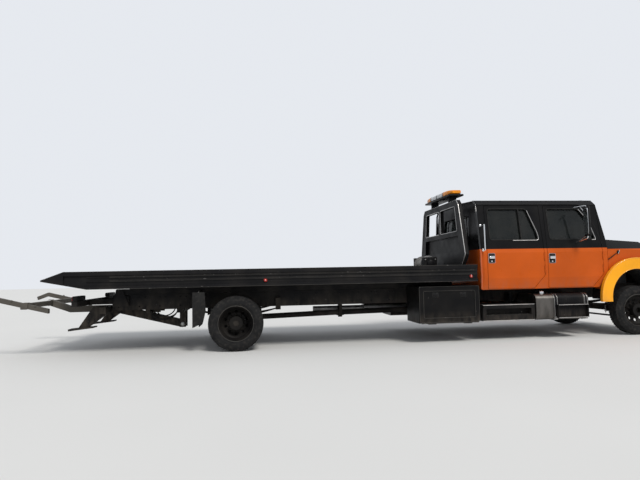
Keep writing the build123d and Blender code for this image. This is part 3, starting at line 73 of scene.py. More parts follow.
class Grain(Enum):
    """How a surface's fine bumps look. Noise has its scale, detail and stretch on y and z, the bumps' strength and
    their depth in metres."""

    SMOOTH = "smooth"
    TREAD_PLATE = "tread plate"
    WEAVE = "weave"
    CAST = (160.0, 4.0, 1.0, 0.5, 0.0012)
    ORANGE_PEEL = (420.0, 1.0, 1.0, 0.06, 0.0004)
    MOULDED = (700.0, 2.0, 1.0, 0.25, 0.0004)
    BRUSHED = (60.0, 3.0, 14.0, 0.12, 0.0003)


# Finishes


class Graph:
    """A material's node graph around one Principled shader."""

    def __init__(self, name: str) -> None:
        """Starts the graph.

        Args:
            name: the material's name.
        """
        self.material = bpy.data.materials.new(name)
        self.material.use_nodes = True
        self.tree = self.material.node_tree
        self.shader = self.tree.nodes["Principled BSDF"]
        self.place = self.tree.nodes.new("ShaderNodeTexCoord").outputs["Object"]

    def feed(self, socket: Socket, value: object) -> None:
        """Links a socket to another socket, or sets its plain value.

        Args:
            socket: the input socket.
            value: an output socket, a number or a colour.
        """
        if isinstance(value, bpy.types.NodeSocket):
            self.tree.links.new(value, socket)
        else:
            socket.default_value = (*value, 1.0) if socket.type == "RGBA" else value

    def node(self, kind: str, inputs: dict, out: object = 0, **settings: object) -> Socket:
        """Adds a node.

        Args:
            kind: its type, without ShaderNode.
            inputs: what its sockets are fed, by name or number.
            out: which of its outputs is wanted.
            settings: its properties.

        Returns:
            The output.
        """
        made = self.tree.nodes.new(f"ShaderNode{kind}")
        for key, value in settings.items():
            setattr(made, key, value)
        for key, value in inputs.items():
            self.feed(made.inputs[key], value)
        return made.outputs[out]

    def shade(self, **inputs: object) -> None:
        """Feeds the shader's sockets, whose names have a low line for each space."""
        for name, value in inputs.items():
            self.feed(self.shader.inputs[name.replace("_", " ")], value)

    def noise(self, scale: float, detail: float = 3.0, stretch: Point = (1.0, 1.0, 1.0)) -> Socket:
        """Cloudy noise from 0 to 1: clouds in a metre, finer layers, and factors that squeeze it on each axis."""
        place = self.node("Mapping", {"Vector": self.place, "Scale": stretch})
        return self.node("TexNoise", {"Vector": place, "Scale": scale, "Detail": detail}, "Fac")

    def band(self, value: Socket, low: float, high: float, start: float = 0.0, end: float = 1.0) -> Socket:
        """Maps the range from low to high to the one from start to end, held at both."""
        ends = {"From Min": low, "From Max": high, "To Min": start, "To Max": end}
        return self.node("MapRange", {"Value": value, **ends})

    def cloud(self, scale: float, detail: float, low: float, high: float, start: float = 0.0, end: float = 1.0,
              stretch: Point = (1.0, 1.0, 1.0)) -> Socket:
        """Noise whose range from low to high is mapped to the one from start to end."""
        return self.band(self.noise(scale, detail, stretch), low, high, start, end)

    def maths(self, operation: str, first: object, second: object = 0.0) -> Socket:
        """One arithmetic step on sockets or numbers."""
        return self.node("Math", {0: first, 1: second}, operation=operation)

    def axis(self, name: str) -> Socket:
        """The object's x, y or z in metres, by its capital letter."""
        return self.node("SeparateXYZ", {0: self.place}, name)

    def mix(self, share: object, first: object, second: object) -> Socket:
        """Blends two colours: a share of 0 gives the first and 1 the second."""
        return self.node("Mix", {0: share, 6: first, 7: second}, 2, data_type="RGBA")

    def toned(self, colour: object, value: Socket) -> Socket:
        """A colour made darker or lighter by a factor."""
        return self.node("HueSaturation", {"Color": colour, "Value": value})

    def wave(self, scale: float, direction: str) -> Socket:
        """Even bands across one axis, from 0 to 1."""
        return self.node("TexWave", {"Vector": self.place, "Scale": scale}, "Fac", bands_direction=direction)

    def bump(self, height: Socket, strength: float, depth: float) -> None:
        """Gives the shader fine relief: how strongly it shades, and what a height of 1 is in metres."""
        self.shade(Normal=self.node("Bump", {"Strength": strength, "Distance": depth, "Height": height}))

    def grain(self, kind: Grain) -> None:
        """Gives the shader the relief of one kind of surface. A tread plate has raised bars that alternate in
        direction, from the sines of x + y and x - y.

        Args:
            kind: the grain.
        """
        if isinstance(kind.value, tuple):
            scale, detail, across, strength, depth = kind.value
            self.bump(self.noise(scale, detail, (1.0, across, across)), strength, depth)
        elif kind is Grain.WEAVE:
            self.bump(self.maths("MULTIPLY", self.wave(160.0, "X"), self.wave(160.0, "Y")), 0.5, 0.0008)
        elif kind is Grain.TREAD_PLATE:
            pitch = 2.0 * math.pi / 0.055
            bars = [self.maths("SINE", self.maths("MULTIPLY", self.maths(way, self.axis("X"), self.axis("Y")), turns))
                    for way, turns in (("ADD", pitch), ("SUBTRACT", pitch * 0.5))]
            self.bump(self.band(self.maths("MULTIPLY", *bars), 0.35, 0.6), 0.9, 0.002)


DUST = (0.16, 0.14, 0.115)
ROAD_DIRT = (0.17, 0.14, 0.11)
PALE_DUST = (0.22, 0.19, 0.16)
GLASS_FILM = (0.07, 0.066, 0.058)


@dataclass(frozen=True)
class Finish:
    """What a surface is finished in."""

    name: str
    colour: Colour

    def dress(self, graph: Graph) -> None:
        """Wires the finish's graph, which each kind of finish does in its own way."""
        raise NotImplementedError


@dataclass(frozen=True)
class Paint(Finish):
    """Sprayed metal: one colour, or more that meet at a height or a distance from the middle, with dust, road dirt
    and worn spots. The colour past a distance from the middle is a painted sun glare."""

    gloss: float = 0.25
    upper: Optional[Colour] = None
    split_z: float = 0.0
    dust: float = 0.15
    dirt_below_z: float = 0.0
    wear: float = 0.0
    bare: Colour = (0.30, 0.28, 0.27)
    metallic: float = 0.0
    coat: float = 0.0
    shine: float = 0.1
    outer: Optional[Colour] = None
    outer_y: float = 1.0
    grain: Grain = Grain.ORANGE_PEEL

    def dress(self, graph: Graph) -> None:
        """Wires the paint.

        Args:
            graph: the material's graph.
        """
        base: object = self.colour
        blur = 0.002
        if self.upper is not None:
            base = graph.mix(graph.band(graph.axis("Z"), self.split_z - blur, self.split_z + blur), base, self.upper)
        # Painted highlight: past outer_y from the middle the colour turns to outer, a lighter yellow-orange that paints
        # the sun's glare on the flares.
        if self.outer is not None:
            across = graph.maths("ABSOLUTE", graph.axis("Y"))
            base = graph.mix(graph.band(across, self.outer_y, self.outer_y + blur), base, self.outer)
        shown = graph.toned(base, graph.cloud(1.6, 4.0, 0.35, 0.7, 0.88, 1.08))
        shown = graph.mix(graph.cloud(3.5, 5.0, 0.40, 0.85, 0.0, self.dust), shown, DUST)
        if self.dirt_below_z > 0.0:
            low = graph.band(graph.axis("Z"), self.dirt_below_z - 0.35, self.dirt_below_z, 0.55, 0.0)
            spatter = graph.maths("MULTIPLY", low, graph.cloud(14.0, 6.0, 0.35, 0.75, stretch=(1.0, 1.0, 0.35)))
            shown = graph.mix(spatter, shown, ROAD_DIRT)
        if self.wear > 0.0:
            chips = graph.cloud(34.0, 8.0, 0.74 - 0.10 * self.wear, 0.80 - 0.10 * self.wear)
            shown = graph.mix(chips, shown, self.bare)
        rough = graph.cloud(5.0, 4.0, 0.3, 0.8, self.gloss, min(1.0, self.gloss + 0.22))
        graph.shade(Base_Color=shown, Roughness=rough, Metallic=self.metallic, Specular_IOR_Level=self.shine,
                    Coat_Weight=self.coat, Coat_Roughness=0.06)
        graph.grain(self.grain)


@dataclass(frozen=True)
class BareMetal(Finish):
    """Unpainted metal with smears and fine scratches."""

    roughness: float
    stain: float = 0.3
    grain: Grain = Grain.BRUSHED

    def dress(self, graph: Graph) -> None:
        """Wires the metal.

        Args:
            graph: the material's graph.
        """
        smear = graph.cloud(11.0, 6.0, 0.4, 0.8, 0.0, self.stain, (1.0, 1.0, 0.4))
        darker = tuple(channel * 0.42 for channel in self.colour)
        graph.shade(Base_Color=graph.mix(smear, self.colour, darker), Metallic=1.0,
                    Roughness=graph.cloud(30.0, 5.0, 0.3, 0.8, self.roughness, self.roughness + 0.18))
        graph.grain(self.grain)


@dataclass(frozen=True)
class Moulding(Finish):
    """Rubber or plastic: dull, a little grey where it has weathered, and dusty."""

    roughness: float = 0.6
    dust: float = 0.25
    grain: Grain = Grain.MOULDED

    def dress(self, graph: Graph) -> None:
        """Wires the moulding.

        Args:
            graph: the material's graph.
        """
        grey = tuple(0.7 * channel + 0.022 for channel in self.colour)
        shown = graph.mix(graph.cloud(7.0, 6.0, 0.35, 0.8, 0.0, 0.5), self.colour, grey)
        shown = graph.mix(graph.cloud(22.0, 5.0, 0.5, 0.9, 0.0, self.dust), shown, PALE_DUST)
        rough = graph.cloud(15.0, 4.0, 0.3, 0.8, self.roughness, min(1.0, self.roughness + 0.2))
        graph.shade(Base_Color=shown, Roughness=rough, Specular_IOR_Level=0.12)
        graph.grain(self.grain)


@dataclass(frozen=True)
class Lens(Finish):
    """Coloured lamp plastic with moulded optics, or clear glass."""

    see_through: float
    optics: float = 0.0
    roughness: float = 0.04

    def dress(self, graph: Graph) -> None:
        """Wires the lens.

        Args:
            graph: the material's graph.
        """
        shown = graph.toned(self.colour, graph.cloud(6.0, 4.0, 0.35, 0.8, 0.85, 1.05))
        rough = graph.cloud(12.0, 4.0, 0.4, 0.8, self.roughness, self.roughness + 0.08)
        graph.shade(Base_Color=shown, Roughness=rough, Transmission_Weight=self.see_through, IOR=1.45)
        if self.optics > 0.0:
            graph.bump(graph.wave(self.optics, "Y"), 0.35, 0.0012)


@dataclass(frozen=True)
class Pane(Finish):
    """Tinted window glass: thin, mostly clear and glossy."""

    alpha: float

    def dress(self, graph: Graph) -> None:
        """Wires the glass.

        Args:
            graph: the material's graph.
        """
        shown = graph.mix(graph.cloud(4.0, 4.0, 0.4, 0.9, 0.0, 0.25), self.colour, GLASS_FILM)
        graph.shade(Base_Color=shown, Roughness=graph.cloud(9.0, 3.0, 0.4, 0.8, 0.02, 0.08), Alpha=self.alpha,
                    Specular_IOR_Level=0.3)


ORANGE = (0.52, 0.088, 0.008)
# The flares' orange painted lighter and yellower: a painted sun glare, not the paint's own colour.
PAINTED_GLARE_ORANGE = (0.90, 0.38, 0.016)
BLACK = (0.004, 0.004, 0.0046)


class Coats:
    """The finishes by the name of what wears them."""

    CAB = Paint("cab_two_tone", ORANGE, 0.24, upper=BLACK, split_z=1.452, dust=0.03, dirt_below_z=1.0, coat=0.06)
    # The hood's flares, past outer_y, are painted in the sun-glare yellow-orange.
    HOOD = Paint("hood_orange", ORANGE, 0.24, upper=BLACK, split_z=1.43, dust=0.03, dirt_below_z=0.8, coat=0.10,
                 outer=PAINTED_GLARE_ORANGE, outer_y=1.0205)
    # The flares' glossy paint in the painted sun-glare yellow-orange.
    FLARE = Paint("flare_yellow", PAINTED_GLARE_ORANGE, 0.15, dust=0.02, coat=0.5, shine=0.4)
    CORNER = Paint("corner_two_tone", ORANGE, 0.12, upper=BLACK, split_z=1.452, dust=0.0, coat=0.6, shine=0.5)
    FRAME = Paint("frame_black", (0.011, 0.011, 0.012), 0.5, dust=0.22, wear=0.15, dirt_below_z=0.8,
                  grain=Grain.CAST)
    DECK = Paint("deck_black", (0.014, 0.014, 0.016), 0.45, dust=0.25, wear=0.5, grain=Grain.TREAD_PLATE)
    RAIL = Paint("rail_black", (0.008, 0.008, 0.009), 0.38, dust=0.08, wear=0.12, bare=(0.20, 0.19, 0.18))
    BOX = Paint("toolbox_black", (0.005, 0.005, 0.0055), 0.34, dust=0.05, wear=0.08, dirt_below_z=0.5)
    STEP = Paint("step_black", (0.006, 0.006, 0.007), 0.4, dust=0.10, wear=0.3, dirt_below_z=0.5,
                 grain=Grain.TREAD_PLATE)
    HEADBOARD = Paint("headboard_black", (0.005, 0.005, 0.0055), 0.32, dust=0.05, wear=0.12)
    WHEEL = Paint("wheel_black", (0.008, 0.0075, 0.0075), 0.4, dust=0.12, wear=0.15, bare=(0.12, 0.08, 0.06))
    CAST = Paint("cast_iron", (0.022, 0.020, 0.019), 0.65, dust=0.4, wear=0.3, bare=(0.10, 0.06, 0.04),
                 metallic=0.3, grain=Grain.CAST)
    # A dark grey-brown: partly the forks' own colour and partly painted shade, as the forks lie in shade.
    FORK = Paint("fork_grey", (0.085, 0.078, 0.068), 0.5, dust=0.3, wear=0.6, bare=(0.08, 0.05, 0.035),
                 grain=Grain.CAST)
    ENGINE = Paint("engine_grey", (0.11, 0.115, 0.12), 0.5, dust=0.35, grain=Grain.CAST)
    CHROME = BareMetal("chrome", (0.78, 0.79, 0.80), 0.06, 0.12, Grain.SMOOTH)
    ROD = BareMetal("hard_chrome_rod", (0.70, 0.71, 0.73), 0.1, 0.1, Grain.SMOOTH)
    # Darker than clean aluminium: partly grime, and partly painted shade, since the tank sits in shade on the truck's
    # side.
    TANK = BareMetal("tank_aluminium", (0.15, 0.14, 0.13), 0.34, 0.95)
    WORN = BareMetal("worn_steel", (0.46, 0.45, 0.44), 0.35, 0.6)
    BOLT = BareMetal("zinc_bolts", (0.38, 0.38, 0.37), 0.4, 0.7, Grain.CAST)
    TYRE = Moulding("tyre_rubber", (0.011, 0.011, 0.0115), 0.75, 0.16)
    SEAL = Moulding("seal_rubber", (0.012, 0.012, 0.012), 0.55, 0.12)
    BLACKED = Paint("fitting_black", (0.010, 0.010, 0.011), 0.3, dust=0.06, wear=0.1)
    RUBBED = Paint("rubbed_edge", (0.060, 0.058, 0.055), 0.35, dust=0.2, wear=0.9, bare=(0.30, 0.29, 0.28),
                   metallic=0.4)
    HOSE = Moulding("hose_rubber", (0.014, 0.014, 0.015), 0.45, 0.2)
    TRIM = Moulding("dash_trim", (0.045, 0.045, 0.048), 0.55, 0.08)
    SEAT = Moulding("seat_cloth", (0.05, 0.05, 0.055), 0.85, 0.08, Grain.WEAVE)
    PIPING = Moulding("seat_piping", (0.022, 0.022, 0.024), 0.6, 0.05)
    ROPE = BareMetal("wire_rope", (0.30, 0.29, 0.27), 0.45, 0.7, Grain.SMOOTH)
    # worn_edge is worn bright metal on trims, nosings and straps. On the headboard's rear beads it is a painted
    # highlight of the edges.
    EDGE = BareMetal("worn_edge", (0.52, 0.51, 0.50), 0.30, 0.5, Grain.SMOOTH)
    AMBER = Lens("amber_lens", (0.95, 0.36, 0.02), 0.35, 60.0)
    RED = Lens("red_lens", (0.62, 0.015, 0.012), 0.35, 60.0)
    PALE = Lens("pale_reflector", (0.75, 0.42, 0.36), 0.1, 60.0)
    BEACON = Lens("beacon_amber", (1.0, 0.34, 0.01), 0.15, 45.0)
    # A pale, faintly see-through lens for the beacon's middle, which paints the bright reflection across the amber bar.
    BEACON_CLEAR = Lens("beacon_clear", (0.80, 0.82, 0.84), 0.25, 45.0)
    CLEAR = Lens("clear_lens", (0.92, 0.93, 0.95), 0.75, 90.0)
    HEADLAMP = Lens("headlamp_glass", (0.90, 0.92, 0.94), 0.92, 0.0, 0.03)
    WINDOW = Pane("window_glass", (0.010, 0.012, 0.012), 0.84)
    SCREEN = Pane("screen_glass", (0.02, 0.026, 0.024), 0.68)
    MIRROR = BareMetal("mirror_glass", (0.85, 0.86, 0.87), 0.02, 0.03, Grain.SMOOTH)


# The solids in each finish; * stands for right and left
NODE_COATS: dict[Finish, str] = {
    Coats.FRAME: "chassis_frame radiator tilt_frame tilt_cylinder_barrels wheel_lift lift_cylinder_barrel winch_frame",
    Coats.CAST: "leaf_springs rear_axle front_axle driveshaft tie_rod steering_knuckle_*",
    Coats.CAB: "cab_shell front_door_* rear_door_*", Coats.SCREEN: "cab_glass",
    Coats.WINDOW: "front_door_glass_* rear_door_glass_*", Coats.CHROME: "grab_handles front_bumper grille mirror_*",
    Coats.TYRE: "front_tyre_* rear_tyres_*", Coats.WHEEL: "front_rim_* rear_rims_*",
    Coats.BOX: "toolboxes toolbox_door_*", Coats.STEP: "tank_straps cab_steps", Coats.TANK: "fuel_tanks",
    Coats.ROD: "tilt_cylinder_rods lift_cylinder_rod", Coats.FORK: "lift_forks", Coats.WORN: "exhaust winch_drum",
    Coats.DECK: "deck", Coats.RAIL: "deck_side_rails", Coats.HEADBOARD: "headboard", Coats.HOOD: "hood",
    Coats.ENGINE: "engine_block", Coats.TRIM: "dashboard", Coats.SEAT: "seats", Coats.SEAL: "mud_flaps",
    Coats.RED: "tail_lamps", Coats.AMBER: "marker_lamps light_bar", Coats.CLEAR: "headlamps",
}


@dataclass
class Paintbox:
    """The truck's finishes, each made once when a piece first asks for it."""

    made: dict[str, bpy.types.Material] = field(default_factory=dict)

    def of(self, finish: Finish) -> bpy.types.Material:
        """The material of a finish.

        Args:
            finish: what the piece is finished in.

        Returns:
            The material, the same one for every piece in that finish.
        """
        if finish.name not in self.made:
            graph = Graph(finish.name)
            finish.dress(graph)
            self.made[finish.name] = graph.material
        return self.made[finish.name]

    def dress_nodes(self) -> None:
        """Gives every solid of the part its finish."""
        coats = {name.replace("*", side.label): coat for coat, names in NODE_COATS.items()
                 for name in names.split() for side in Side}
        for name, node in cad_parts.items():
            node.data.materials.clear()
            node.data.materials.append(self.of(coats[name]))


# Shapes: points worked out as whole arrays


def grid_quads(rows: int, columns: int, wrap_rows: bool, wrap_columns: bool) -> Array:
    """The faces of a grid of points: each joins a point with the next ones along both directions.

    Args:
        rows: points along the first direction.
        columns: points along the second.
        wrap_rows: whether the last row joins the first.
        wrap_columns: whether the last column joins the first.

    Returns:
        One row of four point numbers per face.
    """
    first = np.arange(rows if wrap_rows else rows - 1)[:, None]
    second = np.arange(columns if wrap_columns else columns - 1)[None, :]
    down, right = (first + 1) % rows, (second + 1) % columns
    corners = (first * columns + second, first * columns + right, down * columns + right, down * columns + second)
    return np.stack(corners, axis=-1).reshape(-1, 4)


def unit(vectors: Array) -> Array:
    """The vectors divided by their lengths."""
    return vectors / np.maximum(np.linalg.norm(vectors, axis=-1, keepdims=True), 1e-12)


def spread(flat: object, axis: int, height: object) -> Array:
    """Puts (u, v) points in space: h on the given axis, and u and v on the other two in x, y, z order."""
    flat = np.asarray(flat, float)
    return np.insert(flat, axis, 0.0, axis=-1) + np.eye(3)[axis] * np.asarray(height, float)[..., None]


def circle(radius: float, sides: int = 12, start: float = 0.0) -> Array:
    """Points on a circle: (r cos a, r sin a) for a from its start to a full turn on."""
    angle = start + np.linspace(0.0, 2 * math.pi, sides, endpoint=False)
    return radius * np.stack([np.cos(angle), np.sin(angle)], axis=1)


def turned(profile: Sequence[Flat], axis: int, steps: int) -> Array:
    """A profile turned about an axis: its point (r, h) lies h along the axis and r from it at every angle."""
    ring, flat = circle(1.0, steps), np.asarray(profile, float)
    return spread(flat[:, None, :1] * (ring[:, ::-1] if axis == 1 else ring), axis, flat[:, 1:])


def rounded_path(corners: Sequence[Point], radius: float, steps: int = 5, closed: bool = False) -> Array:
    """A path of straight runs whose corners are arcs: at each corner p, with a and b the points a radius
    before and after it, the arc is (1-t)^2 a + 2t(1-t) p + t^2 b for t from 0 to 1.

    Args:
        corners: the corner points.
        radius: how far from a corner its arc starts.
        steps: points on each arc.
        closed: whether the last corner joins the first.

    Returns:
        The path's points.
    """
    points = np.asarray(corners, float)
    before, after = np.roll(points, 1, axis=0), np.roll(points, -1, axis=0)
    if not closed:
        before, after = before[1:-1], after[1:-1]
    middle = points if closed else points[1:-1]
    reach = np.minimum(radius, 0.45 * np.minimum(np.linalg.norm(before - middle, axis=1),
                                                 np.linalg.norm(after - middle, axis=1)))[:, None]
    start, end = middle + unit(before - middle) * reach, middle + unit(after - middle) * reach
    t = np.linspace(0.0, 1.0, steps)[None, :, None]
    arcs = (1 - t) ** 2 * start[:, None] + 2 * t * (1 - t) * middle[:, None] + t ** 2 * end[:, None]
    flat = arcs.reshape(-1, points.shape[1])
    return flat if closed else np.concatenate([points[:1], flat, points[-1:]])


def round_frame(axis: int, at: float, low: Flat, high: Flat, radius: float, steps: int = 5) -> Array:
    """A closed path across an axis: a rectangle with round corners between its lowest and highest (u, v)."""
    corners = [low, (high[0], low[1]), high, (low[0], high[1])]
    return rounded_path(spread(corners, axis, at), radius, steps, True)


def carried(profile: Array, path: Array, lean: Point, closed: bool = False) -> Array:
    """A profile carried along a path: the point (u, v) of the profile at path point p is p + u s + v w, where
    s is lean x tangent made a unit vector and w is tangent x s.

    Args:
        profile: the section's (u, v) points.
        path: the path's points.
        lean: a direction that is never along the path.
        closed: whether the path closes.

    Returns:
        Points by path point and profile point.
    """
    path = np.asarray(path, float)
    tangent = unit(np.roll(path, -1, axis=0) - np.roll(path, 1, axis=0) if closed else np.gradient(path, axis=0))
    sideways = unit(np.cross(np.asarray(lean, float), tangent))
    other = np.cross(tangent, sideways)
    return path[:, None] + profile[None, :, :1] * sideways[:, None] + profile[None, :, 1:] * other[:, None]


def rounded_rectangle(half_u: float, half_v: float, radius: float, steps: int = 5) -> Array:
    """A rectangle's outline with round corners: each corner's centre plus r (cos a, sin a) over its quarter.

    Args:
        half_u: half the width.
        half_v: half the height.
        radius: the corner radius.
        steps: points on each corner.

    Returns:
        The outline's points, anticlockwise.
    """
    angle = np.linspace(0.0, QUARTER, steps)[None, :] + (np.arange(4) * QUARTER)[:, None]
    signs = np.array([(1, 1), (-1, 1), (-1, -1), (1, -1)], float)
    centres = signs * np.array([half_u - radius, half_v - radius])
    arc = np.stack([np.cos(angle), np.sin(angle)], axis=-1) * radius
    return (centres[:, None] + arc).reshape(-1, 2)


class Form:
    """A mesh in the making: grids of points and the flat caps that close them. What adds to it returns it."""

    def __init__(self) -> None:
        """Starts empty."""
        self.points: list[Array] = []
        self.faces: list[list[int]] = []
        self.count = 0

    def grid(self, points: Array, wrap_rows: bool = False, wrap_columns: bool = True, caps: bool = True,
             places: Sequence[Point] = ((0.0, 0.0, 0.0),)) -> "Form":
        """Adds a surface from a grid of points, at one place or many.

        Args:
            points: an array of rows, columns and coordinates.
            wrap_rows: whether the last row joins the first.
            wrap_columns: whether the last column joins the first.
            caps: whether the first and last rows are closed by a flat face.
            places: where the surface is moved to, one copy for each.

        Returns:
            The form itself.
        """
        rows, columns = points.shape[:2]
        moves = np.atleast_2d(np.asarray(places, float))
        starts = self.count + np.arange(len(moves)) * rows * columns
        quads = grid_quads(rows, columns, wrap_rows, wrap_columns)
        self.faces += (quads[None] + starts[:, None, None]).reshape(-1, 4).tolist()
        if caps and wrap_columns and not wrap_rows:
            ends = starts[:, None] + np.array([0, (rows - 1) * columns])
            self.faces += (ends.reshape(-1, 1) + np.arange(columns)).tolist()
        self.points.append((points.reshape(1, -1, 3) + moves[:, None]).reshape(-1, 3))
        self.count += len(moves) * rows * columns
        return self

    def bar(self, profile: Array, path: Sequence[Point], lean: Point, closed: bool = False) -> "Form":
        """Adds a profile carried along a path that is never along lean."""
        return self.grid(carried(profile, path, lean, closed), wrap_rows=closed)

    def tube(self, path: Sequence[Point], radius: float, lean: Point, sides: int = 10,
             closed: bool = False) -> "Form":
        """Adds a round bar along a path that is never along lean."""
        return self.bar(circle(radius, sides), path, lean, closed)

    def turned(self, profile: Sequence[Flat], places: Sequence[Point], axis: int, steps: int = 48) -> "Form":
        """Adds a turned shape at one place or many, from (radius, height along the axis) points."""
        return self.grid(turned(profile, axis, steps), places=places)

    def bolts(self, places: Sequence[Point], radius: float, height: float, axis: int, sign: float = -1.0) -> "Form":
        """Adds hexagon heads with chamfers, which stand up along an axis by its sign."""
        rings = np.array([(1.0, -0.25), (1.0, 0.75), (0.82, 1.0)]) * [radius, height * sign]
        return self.turned(rings, places, axis, 6)

    def pillow(self, outline: Array, axis: int, low: float, high: float, edge: float, steps: int = 3) -> "Form":
        """Adds a plate with rounded edges: its outline carried from low to high along an axis, drawn in towards
        its middle by e (1 - sin a) while the height moves by e (1 - cos a) at each edge.

        Args:
            outline: the plate's (u, v) points, where u and v are the other axes in x, y, z order.
            axis: 0, 1 or 2 for x, y or z.
            low: the height of one face.
            high: the height of the other.
            edge: the edge's radius.
            steps: points on each edge's quarter.

        Returns:
            The form itself.
        """
        middle = outline.mean(axis=0)
        angle = np.linspace(0.0, QUARTER, steps)
        drawn, rise = edge * (1 - np.sin(angle)), edge * (1 - np.cos(angle))
        height = np.concatenate([low + rise, (high - rise)[::-1]])
        scale = 1 - np.concatenate([drawn, drawn[::-1]]) / np.abs(outline - middle).max()
        return self.grid(spread(middle + (outline - middle) * scale[:, None, None], axis, height[:, None]))

    def plate(self, axis: int, middle: Flat, half: Flat, low: float, high: float, corner: float,
              edge: float) -> "Form":
        """Adds a plate with round corners and edges across an axis, from its middle and half sizes (u, v)."""
        return self.pillow(rounded_rectangle(*half, corner) + np.asarray(middle, float), axis, low, high, edge)

    def box(self, low: Point, high: Point, radius: float, axis: int = 2, edge: float = 0.003) -> "Form":
        """Adds a block with round corners: a rounded rectangle made into a plate along an axis.

        Args:
            low: its lowest corner.
            high: its highest corner.
            radius: the corners' radius across the axis.
            axis: the direction it is carried along.
            edge: the radius of the edges of its two ends.

        Returns:
            The form itself.
        """
        low_a, high_a = np.minimum(low, high), np.maximum(low, high)
        half, middle = np.delete((high_a - low_a) / 2, axis), np.delete((high_a + low_a) / 2, axis)
        return self.plate(axis, middle, half, low_a[axis], high_a[axis], min(radius, 0.98 * half.min()),
                          min(edge, 0.4 * (high_a - low_a)[axis]))

    def join(self, other: "Form") -> "Form":
        """Adds another form.

        Args:
            other: the form to add.

        Returns:
            The form itself.
        """
        self.faces += [[number + self.count for number in face] for face in other.faces]
        self.points += other.points
        self.count += other.count
        return self

    def mirrored(self) -> "Form":
        """A copy of the form for the other side, with y turned over.

        Returns:
            The new form.
        """
        other = Form()
        other.points = [points * np.array([1.0, -1.0, 1.0]) for points in self.points]
        other.faces = [list(reversed(face)) for face in self.faces]
        other.count = self.count
        return other

    def both(self) -> "Form":
        """Adds the form's own mirror image."""
        return self.join(self.mirrored())

    def moved(self, place: Point, axes: Sequence[Point]) -> "Form":
        """Turns and moves the form: the point (a, b, c) goes to p + a i + b j + c k for the place p and the axes."""
        self.points = [points @ np.asarray(axes, float) + np.asarray(place, float) for points in self.points]
        return self


def cushion(half: Sequence[float], crown: float, pull: float, grooves: Sequence[float] = ()) -> Form:
    """A stuffed pad round the origin: at u and v from -1 to 1 it lies at a u (1 - p (1 - v^2)) and
    b v (1 - p (1 - u^2)), so its sides pull in between the corners, and as high as
    c ((1 - u^4)(1 - v^4))^0.4, less a narrow sewn channel e^-((v - g) / 0.035)^2 along each groove g.

    Args:
        half: a, b and the height c.
        crown: how much of c the back of the pad bulges by.
        pull: p, how far the sides pull in.
        grooves: where the sewn channels run, as v.

    Returns:
        The pad without its piping.
    """
    u, v = np.meshgrid(np.linspace(-1, 1, 41), np.linspace(-1, 1, 41), indexing="ij")
    x = half[0] * u * np.sqrt(1 - 0.16 * v ** 6) * (1 - pull * (1 - v ** 2))
    y = half[1] * v * np.sqrt(1 - 0.16 * u ** 6) * (1 - pull * (1 - u ** 2))
    rise = half[2] * np.maximum((1 - u ** 4) * (1 - v ** 4), 0.0) ** 0.4
    sewn = sum((np.exp(-((v - groove) / 0.035) ** 2) for groove in grooves), 0 * v)
    form = Form().grid(np.stack([x, y, rise * (1 - 0.22 * sewn)], axis=-1), wrap_columns=False)
    return form.grid(np.stack([x, y, -crown * rise], axis=-1), wrap_columns=False)


@dataclass
class Assembly:
    """A sub-assembly of the truck, whose pieces ride on one of its bodies unless they name another."""

    paints: Paintbox
    body: str = "root"

    def make(self, name: str, form: Form, finish: Finish, smooth: float = 50.0, body: Optional[str] = None,
             replaces: Sequence[str] = (), slot: Optional[str] = None) -> bpy.types.Object:
        """Builds a piece's mesh, dresses it and lets it ride.

        Args:
            name: the piece's name.
            form: its shape.
            finish: what it is finished in.
            smooth: edges sharper than this angle in degrees stay crisp.
            body: the body it moves with, if it isn't the assembly's own.
            replaces: the solids it stands for.
            slot: not used.

        Returns:
            The finished object.
        """
        mesh = bpy.data.meshes.new(name)
        mesh.from_pydata((np.concatenate(form.points) + FORK_SHIFT).tolist(), [], form.faces)
        shaped = bmesh.new()
        shaped.from_mesh(mesh)
        bmesh.ops.remove_doubles(shaped, verts=shaped.verts, dist=1e-6)
        bmesh.ops.recalc_face_normals(shaped, faces=shaped.faces)
        for edge in shaped.edges:
            edge.smooth = not edge.is_manifold or edge.calc_face_angle(0.0) < math.radians(smooth)
        shaped.to_mesh(mesh)
        shaped.free()
        mesh.polygons.foreach_set("use_smooth", np.ones(len(mesh.polygons), bool))
        mesh.materials.append(self.paints.of(finish))
        made = bpy.data.objects.new(name, mesh)
        bpy.context.scene.collection.objects.link(made)
        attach(made, body or self.body)
        if replaces:
            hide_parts(*replaces)
        log.info("%s rides on %s, %d faces", name, body or self.body, len(mesh.polygons))
        return made

    def pair(self, name: str, form: Form, finish: Finish, body: str, smooth: float = 50.0,
             replaces: Sequence[str] = (), slot: Optional[str] = None) -> None:
        """Makes a piece of the right-hand side and its mirror image, each on its own side's body.

        Args:
            name: the piece's name without its side.
            form: the right-hand side's shape.
            finish: what it is finished in.
            body: the body's name without its side.
            smooth: as for make.
            replaces: the solids it stands for, without their side.
            slot: as for make.
        """
        for side, shape in ((Side.RIGHT, form), (Side.LEFT, form.mirrored())):
            self.make(f"{name}_{side.label}", shape, finish, smooth, f"{body}_{side.label}",
                      [f"{node}_{side.label}" for node in replaces], slot)


# Wheels


@dataclass(frozen=True)
class Axle:
    """The wheels at one axle: what their pieces, solids and bodies are called, and their places."""

    name: str
    tread: str
    tyres: str
    body: str
    x: float
    disc_y: float
    tyre_ys: tuple[float, ...]


